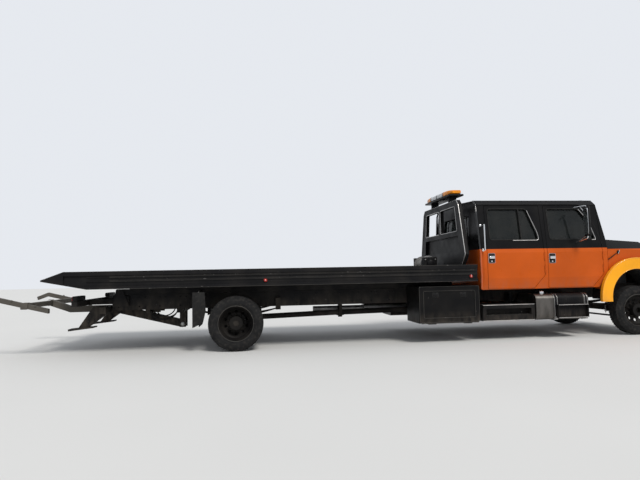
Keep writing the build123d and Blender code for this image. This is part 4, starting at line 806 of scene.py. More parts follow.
@dataclass
class Tyre:
    """One road tyre: a rounded carcass, five ribs and notched shoulders."""

    radius: float = 0.405
    half_width: float = 0.1120
    bead: float = 0.2615
    grooves: tuple[float, ...] = (-0.062, -0.022, 0.022, 0.062)
    groove_half: float = 0.0045
    groove_depth: float = 0.011
    notches: int = 56
    notch_depth: float = 0.007
    shoulder: Flat = (0.37, 0.07)

    def section(self) -> Array:
        """The tyre's section, whose crown is t - 0.004 (h / 0.085)^2 high for the tread's top t.

        Returns:
            Its (r, h) points from bead to bead.
        """
        half, top, width = self.half_width, self.radius, self.groove_half
        side = np.array([
            (self.bead, half - 0.020), (self.bead + 0.012, half - 0.009), (0.293, half - 0.004), (0.298, half - 0.0005),
            (0.312, half), (0.335, half - 0.0005), (0.352, half - 0.004), (0.356, half - 0.006), (0.372, half - 0.012),
            (0.388, half - 0.019), (top - 0.004, half - 0.024),
        ])
        steps = np.add.outer(self.grooves, np.array([-1.0, -0.7, 0.7, 1.0]) * width).ravel()
        ribs = np.sort(np.concatenate([steps, [-0.084, 0.084]]))
        cut = np.abs(np.subtract.outer(ribs, self.grooves)).min(axis=1) < 0.8 * width
        crown = top - 0.004 * (ribs / 0.085) ** 2 - self.groove_depth * cut
        return np.concatenate([side * [1, -1], np.stack([crown, ribs], axis=1), side[::-1]])

    def skin(self) -> Array:
        """The skin round the origin: at angle a and section point (r, h) it is (r' cos a, h, r' sin a), where r' is
        r less the depth of a notch where both h lies in the shoulder and a in a notch.

        Returns:
            The skin's grid by angle and section point.
        """
        (radius, height), (low_r, low_h) = self.section().T, self.shoulder
        share = np.array([0.0, 0.06, 0.55, 0.61])
        angle = ((np.arange(self.notches)[:, None] + share) * 2 * math.pi / self.notches).reshape(-1, 1)
        in_notch = np.tile([0.0, 1.0, 1.0, 0.0], self.notches)[:, None]
        reach = radius - self.notch_depth * in_notch * ((np.abs(height) > low_h) & (radius > low_r))
        return spread(np.stack([reach * np.cos(angle), reach * np.sin(angle)], axis=-1), 1, height[None])


@dataclass
class Wheels(Assembly):
    """The tyres, wheel nuts, rim lips and valve stems of the truck's six wheels."""

    tyre: Tyre = field(default_factory=Tyre)
    hub_z: float = 0.405
    nut_count: int = 10
    nut_ring: float = 0.118
    lip_radius: float = 0.2585
    lip_out: float = 0.097
    axles: tuple[Axle, ...] = (
        Axle("front", "front_tread", "front_tyre", "front_wheel", 4.260, 0.946, (0.9475,)),
        Axle("rear", "twin_treads", "rear_tyres", "rear_wheels", -2.320, 0.958, (1.0775, 0.8225)))

    def build(self) -> None:
        """Makes the tyres and the fittings on each wheel."""
        for axle in self.axles:
            hub, disc_y, lip_y = [axle.x, self.hub_z], -axle.disc_y, -axle.tyre_ys[0] - self.lip_out
            places = [(axle.x, -y, self.hub_z) for y in axle.tyre_ys]
            treads = Form().grid(self.tyre.skin(), wrap_rows=True, places=places)
            studs = spread(circle(self.nut_ring, self.nut_count, math.pi / self.nut_count) + hub, 1, disc_y)
            nuts = Form().bolts(studs, 0.015, 0.022, 1).bolts(studs, 0.008, 0.034, 1)
            lip = Form().tube(spread(circle(self.lip_radius, 96) + hub, 1, lip_y), 0.0055, ALONG_Y, closed=True)
            stem = [(axle.x + 0.185, disc_y - 0.002, self.hub_z), (axle.x + 0.190, disc_y - 0.030, self.hub_z),
                    (axle.x + 0.215, lip_y + 0.030, self.hub_z)]
            valve = Form().tube(rounded_path(stem, 0.012), 0.0035, ALONG_Z, 8)
            self.pair(axle.tread, treads, Coats.TYRE, axle.body, 28.0, [axle.tyres], "tyre")
            self.pair(f"{axle.name}_wheel_nuts", nuts, Coats.CAST, axle.body, 35.0)
            self.pair(f"{axle.name}_rim_lip", lip, Coats.RUBBED, axle.body, 60.0)
            self.pair(f"{axle.name}_valve_stem", valve, Coats.CAST, axle.body, 60.0)


# Cab


@dataclass
class CabSkin:
    """The side of the cab as a surface: half its width at each height, straight between the listed ones."""

    heights: tuple[float, ...] = (0.800, 0.980, 1.390, 1.450, 2.190, 2.275, 2.320)
    halves: tuple[float, ...] = (0.980, 1.005, 1.005, 0.990, 0.870, 0.780, 0.0)

    def on(self, outline: Sequence[Flat], out: float = 0.0) -> Array:
        """The right-hand side's points over (x, z) ones, so far outside the skin."""
        flat = np.asarray(outline, float)
        return spread(flat, 1, -np.interp(flat[:, 1], self.heights, self.halves) - out)


@dataclass
class CabTrim(Assembly):
    """Window seals, door handles, visor, lamps, wipers and the small fittings on the cab."""

    skin: CabSkin = field(default_factory=CabSkin)
    rear_door: Flat = (1.684, 2.666)
    front_door: Flat = (2.727, 3.706)
    sill_z: float = 1.600
    top_z: float = 2.120
    rear_x: float = 1.572
    roof_z: float = 2.318
    visor_half: float = 0.80
    screen_foot: Flat = (3.803, 1.58)
    screen_fall: float = 0.110 / 0.75
    plate_half: Flat = (0.056, 0.078)
    mirror: Flat = (-1.200, 1.875)

    def screen_x(self, z: Array) -> Array:
        """How far along the truck the windscreen lies at a height."""
        return self.screen_foot[0] - self.screen_fall * (z - self.screen_foot[1])

    def windows(self) -> None:
        """Rubber and a bright trim round each door window, from (x, z) corners, and the rear window's upright bar."""
        low, top = self.sill_z, self.top_z
        (rear, rear_end), (front, front_end) = self.rear_door, self.front_door
        for which, seal, trim in (
            ("rear", [(rear + 0.075, low), (rear_end - 0.072, low), (rear_end - 0.085, 1.700), (rear_end - 0.225, top),
                      (rear + 0.075, top)],
             [(rear_end - 0.212, 2.090), (rear_end - 0.074, 1.704), (rear_end - 0.062, 1.590),
              (rear_end - 0.520, 1.590)]),
            ("front", [(front + 0.075, low), (front_end - 0.095, low), (front_end - 0.191, 1.921),
                       (front_end - 0.330, top), (front + 0.075, top)],
             [(front_end - 0.322, 2.112), (front_end - 0.178, 1.925), (front_end - 0.083, 1.590),
              (front_end - 0.16, 1.590)]),
        ):
            rubber = Form().bar(rounded_rectangle(0.009, 0.006, 0.004, 3),
                                self.skin.on(rounded_path(seal, 0.05, 6, True), 0.001), ALONG_Y, True)
            bright = Form().tube(rounded_path(self.skin.on(trim, 0.004), 0.05, 8), 0.0065, ALONG_Y, 8)
            self.pair(f"{which}_window_seal", rubber, Coats.SEAL, f"{which}_door", 60.0)
            self.pair(f"{which}_window_trim", bright, Coats.EDGE, f"{which}_door", 60.0)
        path = self.skin.on([(2.303, z) for z in np.linspace(low, top, 8)], -0.008)
        bar = Form().bar(rounded_rectangle(0.011, 0.014, 0.005, 3), path, ALONG_Y)
        self.pair("vent_bar", bar, Coats.SEAL, "rear_door", 60.0)

    def handles(self) -> None:
        """Each door's dark dished plate with its chrome paddle and its lock, and inside it a padded panel with an
        arm rest."""
        lock, (wide, tall) = [(0.0, -0.003), (0.012, -0.003), (0.012, 0.0), (0.0, 0.0)], self.plate_half
        for which, (start, end), x, z in (("rear", self.rear_door, 1.752, 1.306),
                                          ("front", self.front_door, 2.800, 1.290)):
            y = self.skin.on([(x, z)])[0, 1]
            plate = Form().plate(1, (x, z), (wide, tall), y - 0.004, y + 0.001, 0.018, 0.0015)
            pull = Form().plate(1, (x, z + 0.012), (0.046, 0.022), y - 0.026, y - 0.008, 0.010, 0.006)
            pull.turned(lock, (x, y - 0.005, z - 0.050), 1, 20)
            rim = round_frame(1, y - 0.004, (x - wide, z - tall), (x + wide, z + tall), 0.02)
            pull.tube(rim, 0.0035, ALONG_Y, 6, True)
            middle, half = (start + end) / 2, (end - start) / 2 - 0.10
            card = Form().plate(1, (middle, 1.20), (half, 0.19), -0.944, -0.934, 0.06, 0.004)
            card.plate(1, (middle, 1.27), (half * 0.6, 0.032), -0.938, -0.886, 0.03, 0.015)
            self.pair(f"{which}_handle_plate", plate, Coats.SEAL, f"{which}_door", 40.0)
            self.pair(f"{which}_handle_pull", pull, Coats.CHROME, f"{which}_door", 40.0)
            self.pair(f"{which}_door_card", card, Coats.TRIM, f"{which}_door")

    def rails(self) -> None:
        """The drip rail over the doors and down the windscreen's edge, the seals of both screens, the mouldings down
        the rear corners and a flange at each end of the grab handles."""
        rail = [(1.60, -0.874, 2.196), (3.360, -0.874, 2.196), (3.470, -0.868, 2.170), (3.640, -0.930, 1.800),
                (3.725, -0.985, 1.480)]
        front = rounded_path([(-0.80, 1.65), (0.80, 1.65), (0.73, 2.13), (-0.73, 2.13)], 0.06, 6, True)
        back = rounded_path([(-0.56, 1.56), (0.56, 1.56), (0.54, 2.05), (-0.54, 2.05)], 0.05, 6, True)
        seals = Form().tube(spread(front, 0, self.screen_x(front[:, 1])), 0.011, ALONG_X, 8, True)
        seals.tube(spread(back, 0, 1.558), 0.010, ALONG_X, 8, True)
        heights = (0.815, 0.980, 1.200, 1.390, 1.450, 1.700, 1.950, 2.190, 2.262)
        corner = Form().tube(self.skin.on([(self.rear_x, z) for z in heights], -0.004), 0.016, ALONG_X, 14)
        flange = [(0.0, -0.007), (0.018, -0.007), (0.024, -0.002), (0.024, 0.0), (0.0, 0.0)]
        feet = Form().turned(flange, self.skin.on([(1.622, 1.437), (1.622, 1.843)]), 1, 20)
        drip = Form().tube(rounded_path(rail, 0.06), 0.008, (0, 1, 0.2), 8)
        self.make("drip_rails", drip.both(), Coats.BLACKED, 60.0)
        self.make("screen_seals", seals, Coats.SEAL, 60.0)
        self.make("cab_corner_mouldings", corner.both(), Coats.CORNER, 70.0)
        self.make("grab_handle_flanges", feet.both(), Coats.CHROME)

    def roof(self) -> None:
        """A sun visor whose edge falls back by 0.05 s^2 and drops by 0.05 s^4 over its half width s, five low amber
        clearance lamps and a small aerial dome."""
        across = np.linspace(-self.visor_half, self.visor_half, 33)[:, None]
        share = across / self.visor_half
        section = np.array([(0.0, 0.0), (0.10, -0.012), (0.15, -0.040), (0.152, -0.046), (0.148, -0.052),
                            (0.10, -0.024), (0.0, -0.012)]) + [3.625, self.roof_z]
        fall = 0.05 * np.stack([share ** 2, share ** 4], axis=-1)
        self.make("roof_visor", Form().grid(spread(section - fall, 1, across)), Coats.CAB)
        arc = np.linspace(0.0, QUARTER, 5)
        dome = turned(np.stack([0.040 * np.cos(arc) + 0.001, 0.030 * np.sin(arc)], axis=1), 2, 16) * [1.12, 1.0, 1.0]
        places = [(3.60, y, self.roof_z - 0.045 * (y / 0.7) ** 2) for y in (-0.66, -0.17, 0.0, 0.17, 0.66)]
        self.make("clearance_lamps", Form().grid(dome * [1.0, 0.8, 0.45], places=places), Coats.AMBER, 60.0)
        self.make("aerial_dome", Form().grid(dome, places=(2.30, -0.30, self.roof_z)), Coats.SEAL, 60.0)

    def wipers(self) -> None:
        """Two wipers that lie on the windscreen, whose x falls back as it rises."""
        share = np.linspace(0.0, 1.0, 9)
        z = 1.655 + 0.10 * share ** 2
        for side, start in ((Side.RIGHT, -0.10), (Side.LEFT, 0.62)):
            path = np.stack([self.screen_x(z) + 0.009, start - 0.52 * share, z], axis=1)
            arm = [(3.806, start - 0.02, 1.60), (3.822, start - 0.08, 1.625), (3.812, start - 0.26, 1.69)]
            blade = Form().bar(rounded_rectangle(0.006, 0.010, 0.004, 3), path, ALONG_X)
            self.make(f"wiper_{side.label}", blade.tube(rounded_path(arm, 0.02), 0.007, ALONG_X, 8), Coats.SEAL)

    def mirrors(self) -> None:
        """The tube that holds each mirror head, its two braces, and the mirror's own glass."""
        tube = Form().tube(rounded_path([(3.262, -0.872, 2.130), (3.320, -1.198, 2.130), (3.320, -1.200, 1.600),
                                         (3.262, -0.955, 1.545)], 0.04), 0.010, (1.0, 0.2, 0.1))
        tube.tube([(3.300, -1.060, 2.126), (3.319, -1.190, 1.985)], 0.006, ALONG_X, 8)
        tube.tube([(3.285, -1.030, 1.565), (3.319, -1.192, 1.660)], 0.006, ALONG_X, 8)
        y, z = self.mirror
        head = Form().box((3.298, y - 0.066, z - 0.243), (3.342, y + 0.066, z + 0.243), 0.03, 2, 0.014)
        glass = Form().plate(0, self.mirror, (0.056, 0.215), 3.2955, 3.2990, 0.02, 0.001)
        self.pair("mirror_tube", tube, Coats.CHROME, "front_door", 60.0)
        self.pair("mirror_head", head, Coats.BLACKED, "front_door", replaces=["mirror"])
        self.pair("mirror_glass", glass, Coats.MIRROR, "front_door")

    def build(self) -> None:
        """Makes all the trim."""
        self.windows()
        self.rails()
        self.handles()
        self.roof()
        self.wipers()
        self.mirrors()


@dataclass
class CabInside(Assembly):
    """Padded seats and the instruments."""

    front_x: float = 3.210
    bench_x: float = 2.110
    seat_y: float = 0.480
    seat_half: float = 0.260
    bench_half: float = 0.700
    floor_z: float = 0.9065
    base_z: float = 1.232
    back_z: float = 1.600
    rest_z: float = 1.868
    dial_z: float = 1.475

    def seat(self, name: str, x: float, y: float, half: float, places: int) -> None:
        """A seat: its plinth, its base pad, its leaning back pad and a head rest for each place.

        Args:
            name: the seat's name.
            x: its middle along the truck.
            y: its middle across.
            half: half its width.
            places: how many sit on it.
        """
        lean = unit(np.array([-0.150, 0.0, 0.640]))
        leant = (lean, ALONG_Y, (lean[2], 0.0, -lean[0]))
        grooves = [n / places * 2 - 1 for n in range(1, places)] or [-0.55, 0.55]
        wide = half - 0.03
        plinth = Form().box((x - 0.27, y - wide, self.floor_z), (x + 0.19, y + wide, 1.170), 0.05, 2, 0.02)
        self.make(f"{name}_plinth", plinth, Coats.TRIM, replaces=["seats"] if name == "bench" else [])
        piping, rests = Form(), Form()
        for part, size, crown, pull, fill, place, axes in (
            ("base", (0.215, half - 0.008, 0.082), 0.75, 0.012, 0.7, (x + 0.004, y, self.base_z),
             ((1, 0, 0.06), ALONG_Y, ALONG_Z)),
            ("back", (0.290, half - 0.014, 0.058), 0.65, 0.030, 0.6, (x - 0.312, y, self.back_z), leant),
        ):
            pad = cushion(size, crown, pull, grooves).moved(place, axes)
            made = self.make(f"{name}_{part}_pad", pad, Coats.SEAT, 80.0)
            edge = rounded_rectangle(size[0] * 0.99, size[1] * 0.99, 0.05, 6) @ np.asarray(axes[:2], float)
            piping.tube(edge + place, 0.0045, axes[2], 6, True)
        for n in range(places):
            middle = y + half * ((2 * n + 1) / places - 1)
            rests.join(cushion((0.062, 0.125, 0.045), 0.8, 0.04).moved((x - 0.388, middle, self.rest_z), leant))
        self.make(f"{name}_head_rests", rests, Coats.SEAT, 80.0)
        self.make(f"{name}_piping", piping, Coats.PIPING, 70.0)

    def dashboard(self) -> None:
        """Two round dials with their needles, and the bars of four vents."""
        dials, needles, vents = Form(), Form(), Form()
        for y in (0.395, 0.565):
            dials.tube(spread(circle(0.062, 40) + [y, self.dial_z], 0, 3.409), 0.006, ALONG_X, 8, True)
            needles.box((3.4055, y - 0.002, self.dial_z), (3.4075, y + 0.002, self.dial_z + 0.047), 0.001, 0, 0.0005)
        for y in (-0.70, -0.20, 0.20, 0.76):
            for z in (1.440, 1.460, 1.480, 1.500):
                vents.box((3.402, y - 0.060, z - 0.003), (3.412, y + 0.060, z + 0.003), 0.002, 1, 0.002)
        self.make("dial_rings", dials, Coats.CHROME, 60.0)
        self.make("dial_needles", needles, Coats.RED, 35.0)
        self.make("dash_vents", vents, Coats.SEAL)

    def build(self) -> None:
        """Makes all of the cab's inside."""
        self.seat("bench", self.bench_x, 0.0, self.bench_half, 3)
        for side in Side:
            self.seat(f"front_seat_{side.label}", self.front_x, side.value * self.seat_y, self.seat_half, 1)
        self.dashboard()


# Bed


@dataclass
class BedTrim(Assembly):
    """Worn edges, lamps, tie-down rings and bolts on the sliding deck, and the lamps behind it."""

    body: str = "deck"
    tail_x: float = -5.0
    edge_x: float = -4.700
    taper_x: float = -4.390
    front_x: float = 1.408
    outer_y: float = 1.220
    top_z: float = 1.203
    bottom_z: float = 0.950
    ridge_y: float = 1.210
    ridges: tuple[float, ...] = (1.056, 1.072, 1.114, 1.130)
    lamp_y: float = -1.206
    tail_lamp_z: float = 0.8175
    tie_xs: tuple[float, ...] = (-4.10, -2.70, -1.30, 0.10)
    tie_y: float = -1.085
    bolt_pitch: float = 0.60
    bolt_yz: Flat = (-1.197, 1.093)

    def worn_edges(self) -> None:
        """Thin worn lines along the side rails' edges and ridges and across the tail's tip."""
        bead = rounded_rectangle(0.0028, 0.0028, 0.0012, 2)
        tail, front, y = self.tail_x + 0.012, self.front_x - 0.004, -self.outer_y
        high, low = self.top_z - 0.002, self.bottom_z + 0.002
        form = Form().bar(bead, [(tail, y, 1.091), (self.edge_x, y, high), (front, y, high)], ALONG_Y)
        form.bar(bead, [(tail, y, 1.074), (self.taper_x, y, low), (front, y, low)], ALONG_Y)
        for z in self.ridges:
            form.bar(0.7 * bead, [(self.taper_x + 0.31, -self.ridge_y, z), (front, -self.ridge_y, z)], ALONG_Y)
        form.both().box((self.tail_x + 0.001, -1.185, 1.0735), (self.tail_x + 0.030, 1.185, 1.0815), 0.003, 1)
        self.make("deck_worn_edges", form, Coats.RUBBED, 35.0)

    def lamps(self) -> None:
        """Domed red side lamps in rubber rings, each with a pale reflector in its middle, and lamp boxes on the rear
        bar with a red, an amber and a clear lens."""
        dome = [(0.0, -0.012), (0.011, -0.0112), (0.019, -0.008), (0.025, -0.002), (0.026, 0.005), (0.0, 0.005)]
        reflector = [(0.0, -0.0155), (0.007, -0.0145), (0.011, -0.010), (0.0, -0.010)]
        rings, pale = Form(), Form()
        for name, x, z, nodes in (("rear", -1.882, 1.030, ["marker_lamps"]), ("front", 1.302, 1.024, [])):
            lamp = Form().turned(dome, (x, self.lamp_y, z), 1, 32)
            self.make(f"marker_lamps_{name}", lamp.both(), Coats.RED, 60.0, replaces=nodes)
            rings.tube(spread(circle(0.028, 40) + [x, z], 1, self.lamp_y + 0.002), 0.0045, ALONG_Y, 8, True)
            pale.turned(reflector, (x, self.lamp_y, z), 1, 24)
        self.make("marker_lamp_reflectors", pale.both(), Coats.PALE, 60.0)
        self.make("marker_lamp_rings", rings.both(), Coats.SEAL, 60.0)
        boxes = Form().box((-4.652, -0.998, 0.782), (-4.584, -0.622, 0.853), 0.012, 1, 0.008)
        self.make("tail_lamp_boxes", boxes.both(), Coats.SEAL, body="root")
        for name, y, coat, nodes in (("red", -0.936, Coats.RED, ["tail_lamps"]), ("amber", -0.810, Coats.AMBER, []),
                                     ("clear", -0.684, Coats.CLEAR, [])):
            lens = Form().plate(0, (y, self.tail_lamp_z), (0.055, 0.029), -4.6595, -4.650, 0.012, 0.005)
            self.make(f"tail_lens_{name}", lens.both(), coat, body="root", replaces=nodes)

    def tie_downs(self) -> None:
        """Rings that lie in dished plates along both edges of the floor, and bolt heads along the rails' webs."""
        plates, rings = Form(), Form()
        for x in self.tie_xs:
            plates.plate(2, (x, self.tie_y), (0.075, 0.055), 1.0795, 1.0835, 0.015, 0.0015)
            loop = spread(circle(1.0, 28) * [0.040, 0.036] + [x, self.tie_y], 2, 1.0885)
            rings.tube(loop, 0.007, ALONG_Z, closed=True)
            rings.box((x - 0.012, self.tie_y - 0.050, 1.0830), (x + 0.012, self.tie_y - 0.023, 1.0965), 0.004)
        self.make("tie_down_plates", plates.both(), Coats.STEP, 40.0)
        self.make("tie_down_rings", rings.both(), Coats.WORN)
        places = [(x + shift, *self.bolt_yz) for x in np.arange(-3.95, 1.3, self.bolt_pitch) for shift in (0.0, 0.05)]
        self.make("side_rail_bolts", Form().bolts(places, 0.009, 0.006, 1).both(), Coats.BLACKED, 35.0)

    def build(self) -> None:
        """Makes all of the bed's trim."""
        self.worn_edges()
        self.lamps()
        self.tie_downs()


@dataclass
class Headboard(Assembly):
    """Beads and bolts on the headboard, with the rear face's bright beads as painted highlights, and the beacon bar
    above it.
    """

    body: str = "deck"
    back_x: float = 1.290
    front_x: float = 1.350
    outline: tuple[Flat, ...] = ((0.905, 1.209), (1.050, 1.377), (0.840, 2.210), (0.760, 2.290))
    window: tuple[Flat, ...] = ((0.030, 1.770), (0.030, 2.190), (0.690, 2.190), (0.760, 1.770))
    post: tuple[Flat, Flat] = ((-1.000, 1.430), (-0.805, 2.190))
    beacon: Flat = (1.370, 2.4545)
    beacon_half: Flat = (0.128, 0.0425)
    amber: Flat = (0.308, 0.6185)
    clear: Flat = (0.008, 0.292)

    def beads(self, x: float) -> Form:
        """Beads round the frame and the windows of one face.

        Args:
            x: where the face is along the truck.

        Returns:
            The beads on both sides.
        """
        bead = rounded_rectangle(0.005, 0.005, 0.002, 2)
        form = Form().bar(bead, rounded_path([(x, -y, z) for y, z in self.outline], 0.02, 4), ALONG_X)
        pane = rounded_path([(x, -y, z) for y, z in self.window], 0.03, 4, True)
        return form.bar(bead, pane, ALONG_X, True).both()

    def span(self, start: float, end: float, shrink: float = 0.0) -> Array:
        """The beacon bar's section carried across, drawn in by s t^3 at the share t of the way.

        Args:
            start: the y of one end.
            end: the y of the other.
            shrink: s.

        Returns:
            The grid of points.
        """
        t = np.linspace(0.0, 1.0, 16)[:, None]
        flat = rounded_rectangle(*self.beacon_half, 0.036, 6) * (1 - shrink * t[..., None] ** 3) + self.beacon
        return spread(flat, 1, start + (end - start) * t)

    def build(self) -> None:
        """Makes bright beads round the rear face, which paint the highlights of its edges, and dull ones round the
        front face, bolt heads down both posts and along the foot, and the beacon bar with a dark base, amber ends and a
        pale middle that paints a reflection."""
        self.make("headboard_front_edges", self.beads(self.front_x), Coats.HEADBOARD, 35.0)
        # Painted highlight: bright metal beads on the rear face only, while the front face's beads keep the board's
        # dull black.
        bright = self.beads(self.back_x)
        bright.box((self.back_x - 0.003, -0.755, 2.2885), (self.back_x + 0.003, 0.755, 2.2925), 0.0015, 1, 0.001)
        self.make("headboard_worn_edges", bright, Coats.EDGE, 35.0)
        low, high = np.array(self.post)
        posts = spread(low + (high - low) * np.linspace(0.08, 0.92, 9)[:, None], 0, self.back_x)
        foot = [(self.back_x, y, 1.25) for y in np.linspace(-0.15, -0.80, 5)]
        self.make("headboard_bolts", Form().bolts([*posts, *foot], 0.008, 0.005, 0).both(), Coats.BLACKED, 35.0)
        base = Form().box((1.240, -0.612, 2.386), (1.500, 0.612, 2.415), 0.02, 2, 0.006)
        for y in (-0.300, 0.0, 0.300):
            base.box((1.238, y - 0.006, 2.405), (1.502, y + 0.006, 2.4985), 0.04, 1)
        for y in (-0.415, 0.415):
            base.box((1.300, y - 0.030, 2.290), (1.436, y + 0.030, 2.389), 0.012, 2, 0.004)
        self.make("beacon_base", base, Coats.BLACKED, replaces=["light_bar"])
        (near, far), (inner, outer) = self.amber, self.clear
        ends = Form().grid(self.span(near, far, 0.42)).grid(self.span(-near, -far, 0.42))
        self.make("beacon_amber_ends", ends, Coats.BEACON)
        # Painted reflection: the pale middle stands for the bright reflection across the bar's amber lens.
        clear = Form().grid(self.span(-outer, -inner)).grid(self.span(inner, outer))
        self.make("beacon_clear_middle", clear, Coats.BEACON_CLEAR)


@dataclass
class Winch(Assembly):
    """The rope on the winch's drum, its motor, bolts and clutch lever."""

    body: str = "deck"
    place: Point = (0.988, 0.0, 1.250)
    drum: float = 0.080
    rope: float = 0.0055
    windings: int = 26
    half: float = 0.155
    side_y: float = -0.2805

    def build(self) -> None:
        """Makes the fittings: the wound rope's section rises by r |sin(pi n)| over the drum after n windings."""
        (x, _, z), half = self.place, self.half
        y = np.linspace(-half, half, self.windings * 6 + 1)
        wave = np.abs(np.sin(np.linspace(0.0, self.windings * math.pi, len(y))))
        wound = np.stack([self.drum + 0.012 + self.rope * wave, y], axis=1)
        ring = np.concatenate([wound, [(self.drum - 0.001, half), (self.drum - 0.001, -half)], wound[:1]])
        rope = Form().grid(turned(ring, 1, 64), caps=False, places=self.place)
        motor = [(0.0, -0.326), (0.052, -0.326), (0.062, -0.318), (0.062, -0.285), (0.0, -0.285)]
        lever = rounded_path([(x, 0.300, z + 0.02), (x, 0.322, z + 0.06), (x + 0.03, 0.322, z + 0.115)], 0.03)
        places = [(x + along, self.side_y, z + up) for along in (-0.09, 0.09) for up in (-0.07, 0.07)]
        self.make("winch_rope", rope, Coats.ROPE, 70.0, "winch_drum")
        self.make("winch_motor", Form().turned(motor, self.place, 1, 40), Coats.BLACKED, 40.0)
        self.make("winch_lever", Form().tube(lever, 0.008, (1, 0, 0.2)), Coats.CHROME)
        self.make("winch_bolts", Form().bolts(places, 0.012, 0.008, 1).both(), Coats.BOLT, 35.0)


# Boxes, tanks and steps


def lattice(xs: Array, ys: Array, z: float) -> Array:
    """Every x with every y, at one height."""
    return spread(np.stack(np.meshgrid(xs, ys), axis=-1).reshape(-1, 2), 2, z)


@dataclass
class SideBoxes(Assembly):
    """Trim of the toolboxes, the tanks, their straps and the steps."""

    door_y: float = 1.150
    box_middle: Flat = (0.960, 0.599)
    strap_xs: tuple[float, ...] = (2.760, 3.285)
    strap_half: float = 0.023
    seam_xs: tuple[float, ...] = (2.428, 3.322)
    tank_middle: Flat = (-0.810, 0.505)
    tank_half: Flat = (0.290, 0.205)
    tank_corner: float = 0.090
    shoulder: Flat = (-1.010, 0.620)

    def toolbox(self) -> None:
        """Each toolbox door's worn frame, its hinge, and its two latches in dished plates."""
        y = -self.door_y
        worn, latch, dish = Form(), Form(), Form()
        for half in ((0.418, 0.207), (0.484, 0.274)):
            edge = spread(rounded_rectangle(*half, 0.02) + self.box_middle, 1, y)
            worn.bar(rounded_rectangle(0.003, 0.003, 0.0012, 2), edge, ALONG_Y, True)
        worn.tube([(0.50, y + 0.001, 0.309), (1.42, y + 0.001, 0.309)], 0.0055, ALONG_Y, 8)
        for x in (0.735, 1.185):
            dish.plate(1, (x, 0.745), (0.052, 0.040), y + 0.004, y + 0.009, 0.012, 0.002)
            latch.plate(1, (x, 0.742), (0.040, 0.022), y - 0.004, y + 0.005, 0.010, 0.003)
            latch.turned([(0.0, -0.004), (0.008, -0.004), (0.010, 0.0), (0.0, 0.0)], (x, y + 0.004, 0.776), 1, 16)
        self.pair("toolbox_worn_frame", worn, Coats.RUBBED, "toolbox_door", 35.0)
        self.pair("toolbox_latch_dish", dish, Coats.SEAL, "toolbox_door", 40.0)
        self.pair("toolbox_latch", latch, Coats.BLACKED, "toolbox_door", 40.0)

    def ring(self, x: float, out: float, partly: bool = False) -> Array:
        """A path round the tank's section at x, so far outside it, without the inner side if partly is set."""
        half_y, half_z = self.tank_half
        flat = rounded_rectangle(half_y + out, half_z + out, self.tank_corner + out, 9) + self.tank_middle
        return spread(np.roll(flat, -9, axis=0)[:27] if partly else flat, 0, x)

    def tank(self) -> None:
        """The tank's end seams, the straps' worn edges, their bolted feet and the filler cap, and a black tread strip
        over its shoulder: its section grown by 3 mm, from its side to its top, and back along it 1.5 mm lower."""
        seams, edges, feet = Form(), Form(), Form()
        for x in self.seam_xs:
            seams.tube(self.ring(x, 0.0), 0.007, ALONG_X, 8, True)
        for x in self.strap_xs:
            for edge_x in (x - self.strap_half, x + self.strap_half):
                edges.tube(self.ring(edge_x, 0.0065, True), 0.0035, ALONG_X, 8)
            feet.box((x - 0.034, -1.088, 0.300), (x + 0.034, -1.020, 0.314), 0.006)
            feet.box((x - 0.020, -1.106, 0.304), (x + 0.020, -1.072, 0.352), 0.006, 1)
            feet.bolts([(x, -1.106, 0.330)], 0.013, 0.012, 1)
        cap = [(0.0, 0.052), (0.036, 0.052), (0.043, 0.046), (0.045, 0.016), (0.034, 0.012), (0.034, 0.0), (0.0, 0.0)]
        arc = np.linspace(0.0, QUARTER, 10)
        y, z = self.shoulder
        outer, inner = (
            np.concatenate([[(y - r, 0.545)], r * np.stack([-np.cos(arc), np.sin(arc)], axis=1) + [y, z],
                            [(-0.860, z + r)]]) for r in (self.tank_corner + 0.003, self.tank_corner + 0.0015))
        strip = spread(np.concatenate([outer, inner[::-1]]), 0, np.linspace(2.800, 3.245, 12)[:, None])
        self.make("tank_seams", seams.both(), Coats.TANK, 60.0)
        self.make("tank_strap_edges", edges.both(), Coats.EDGE, 60.0)
        self.make("tank_caps", Form().turned(cap, (2.600, -0.960, 0.704), 2, 36).both(), Coats.CHROME, 40.0)
        self.make("tank_strap_feet", feet.both(), Coats.WORN, 35.0)
        self.make("tank_treads", Form().grid(strip).both(), Coats.STEP)

    def steps(self) -> None:
        """Bright nosings and rows of raised grips on the steps under the cab and on the tank's step box."""
        nose, stud = Form(), [(0.0, 0.003), (0.006, 0.003), (0.009, 0.0), (0.009, -0.001), (0.0, -0.001)]
        for low_x, high_x, y, heights in ((1.535, 2.405, -1.079, (0.312, 0.558)),
                                          (2.765, 3.280, -1.169, (0.334, 0.537))):
            for z in heights:
                nose.tube([(low_x, y, z), (high_x, y, z)], 0.0045, ALONG_Y, 8)
        grips = Form().turned(stud, lattice(np.linspace(1.57, 2.37, 24), np.linspace(-1.06, -0.92, 5), 0.560), 2, 10)
        grips.turned(stud, lattice(np.linspace(1.62, 2.32, 22), np.linspace(-1.06, -1.00, 3), 0.400), 2, 10)
        self.make("step_nosings", nose.both(), Coats.EDGE, 60.0)
        self.make("step_grips", grips.both(), Coats.RUBBED)

    def build(self) -> None:
        """Makes all of the boxes' trim."""
        self.toolbox()
        self.tank()
        self.steps()


# Chassis and front


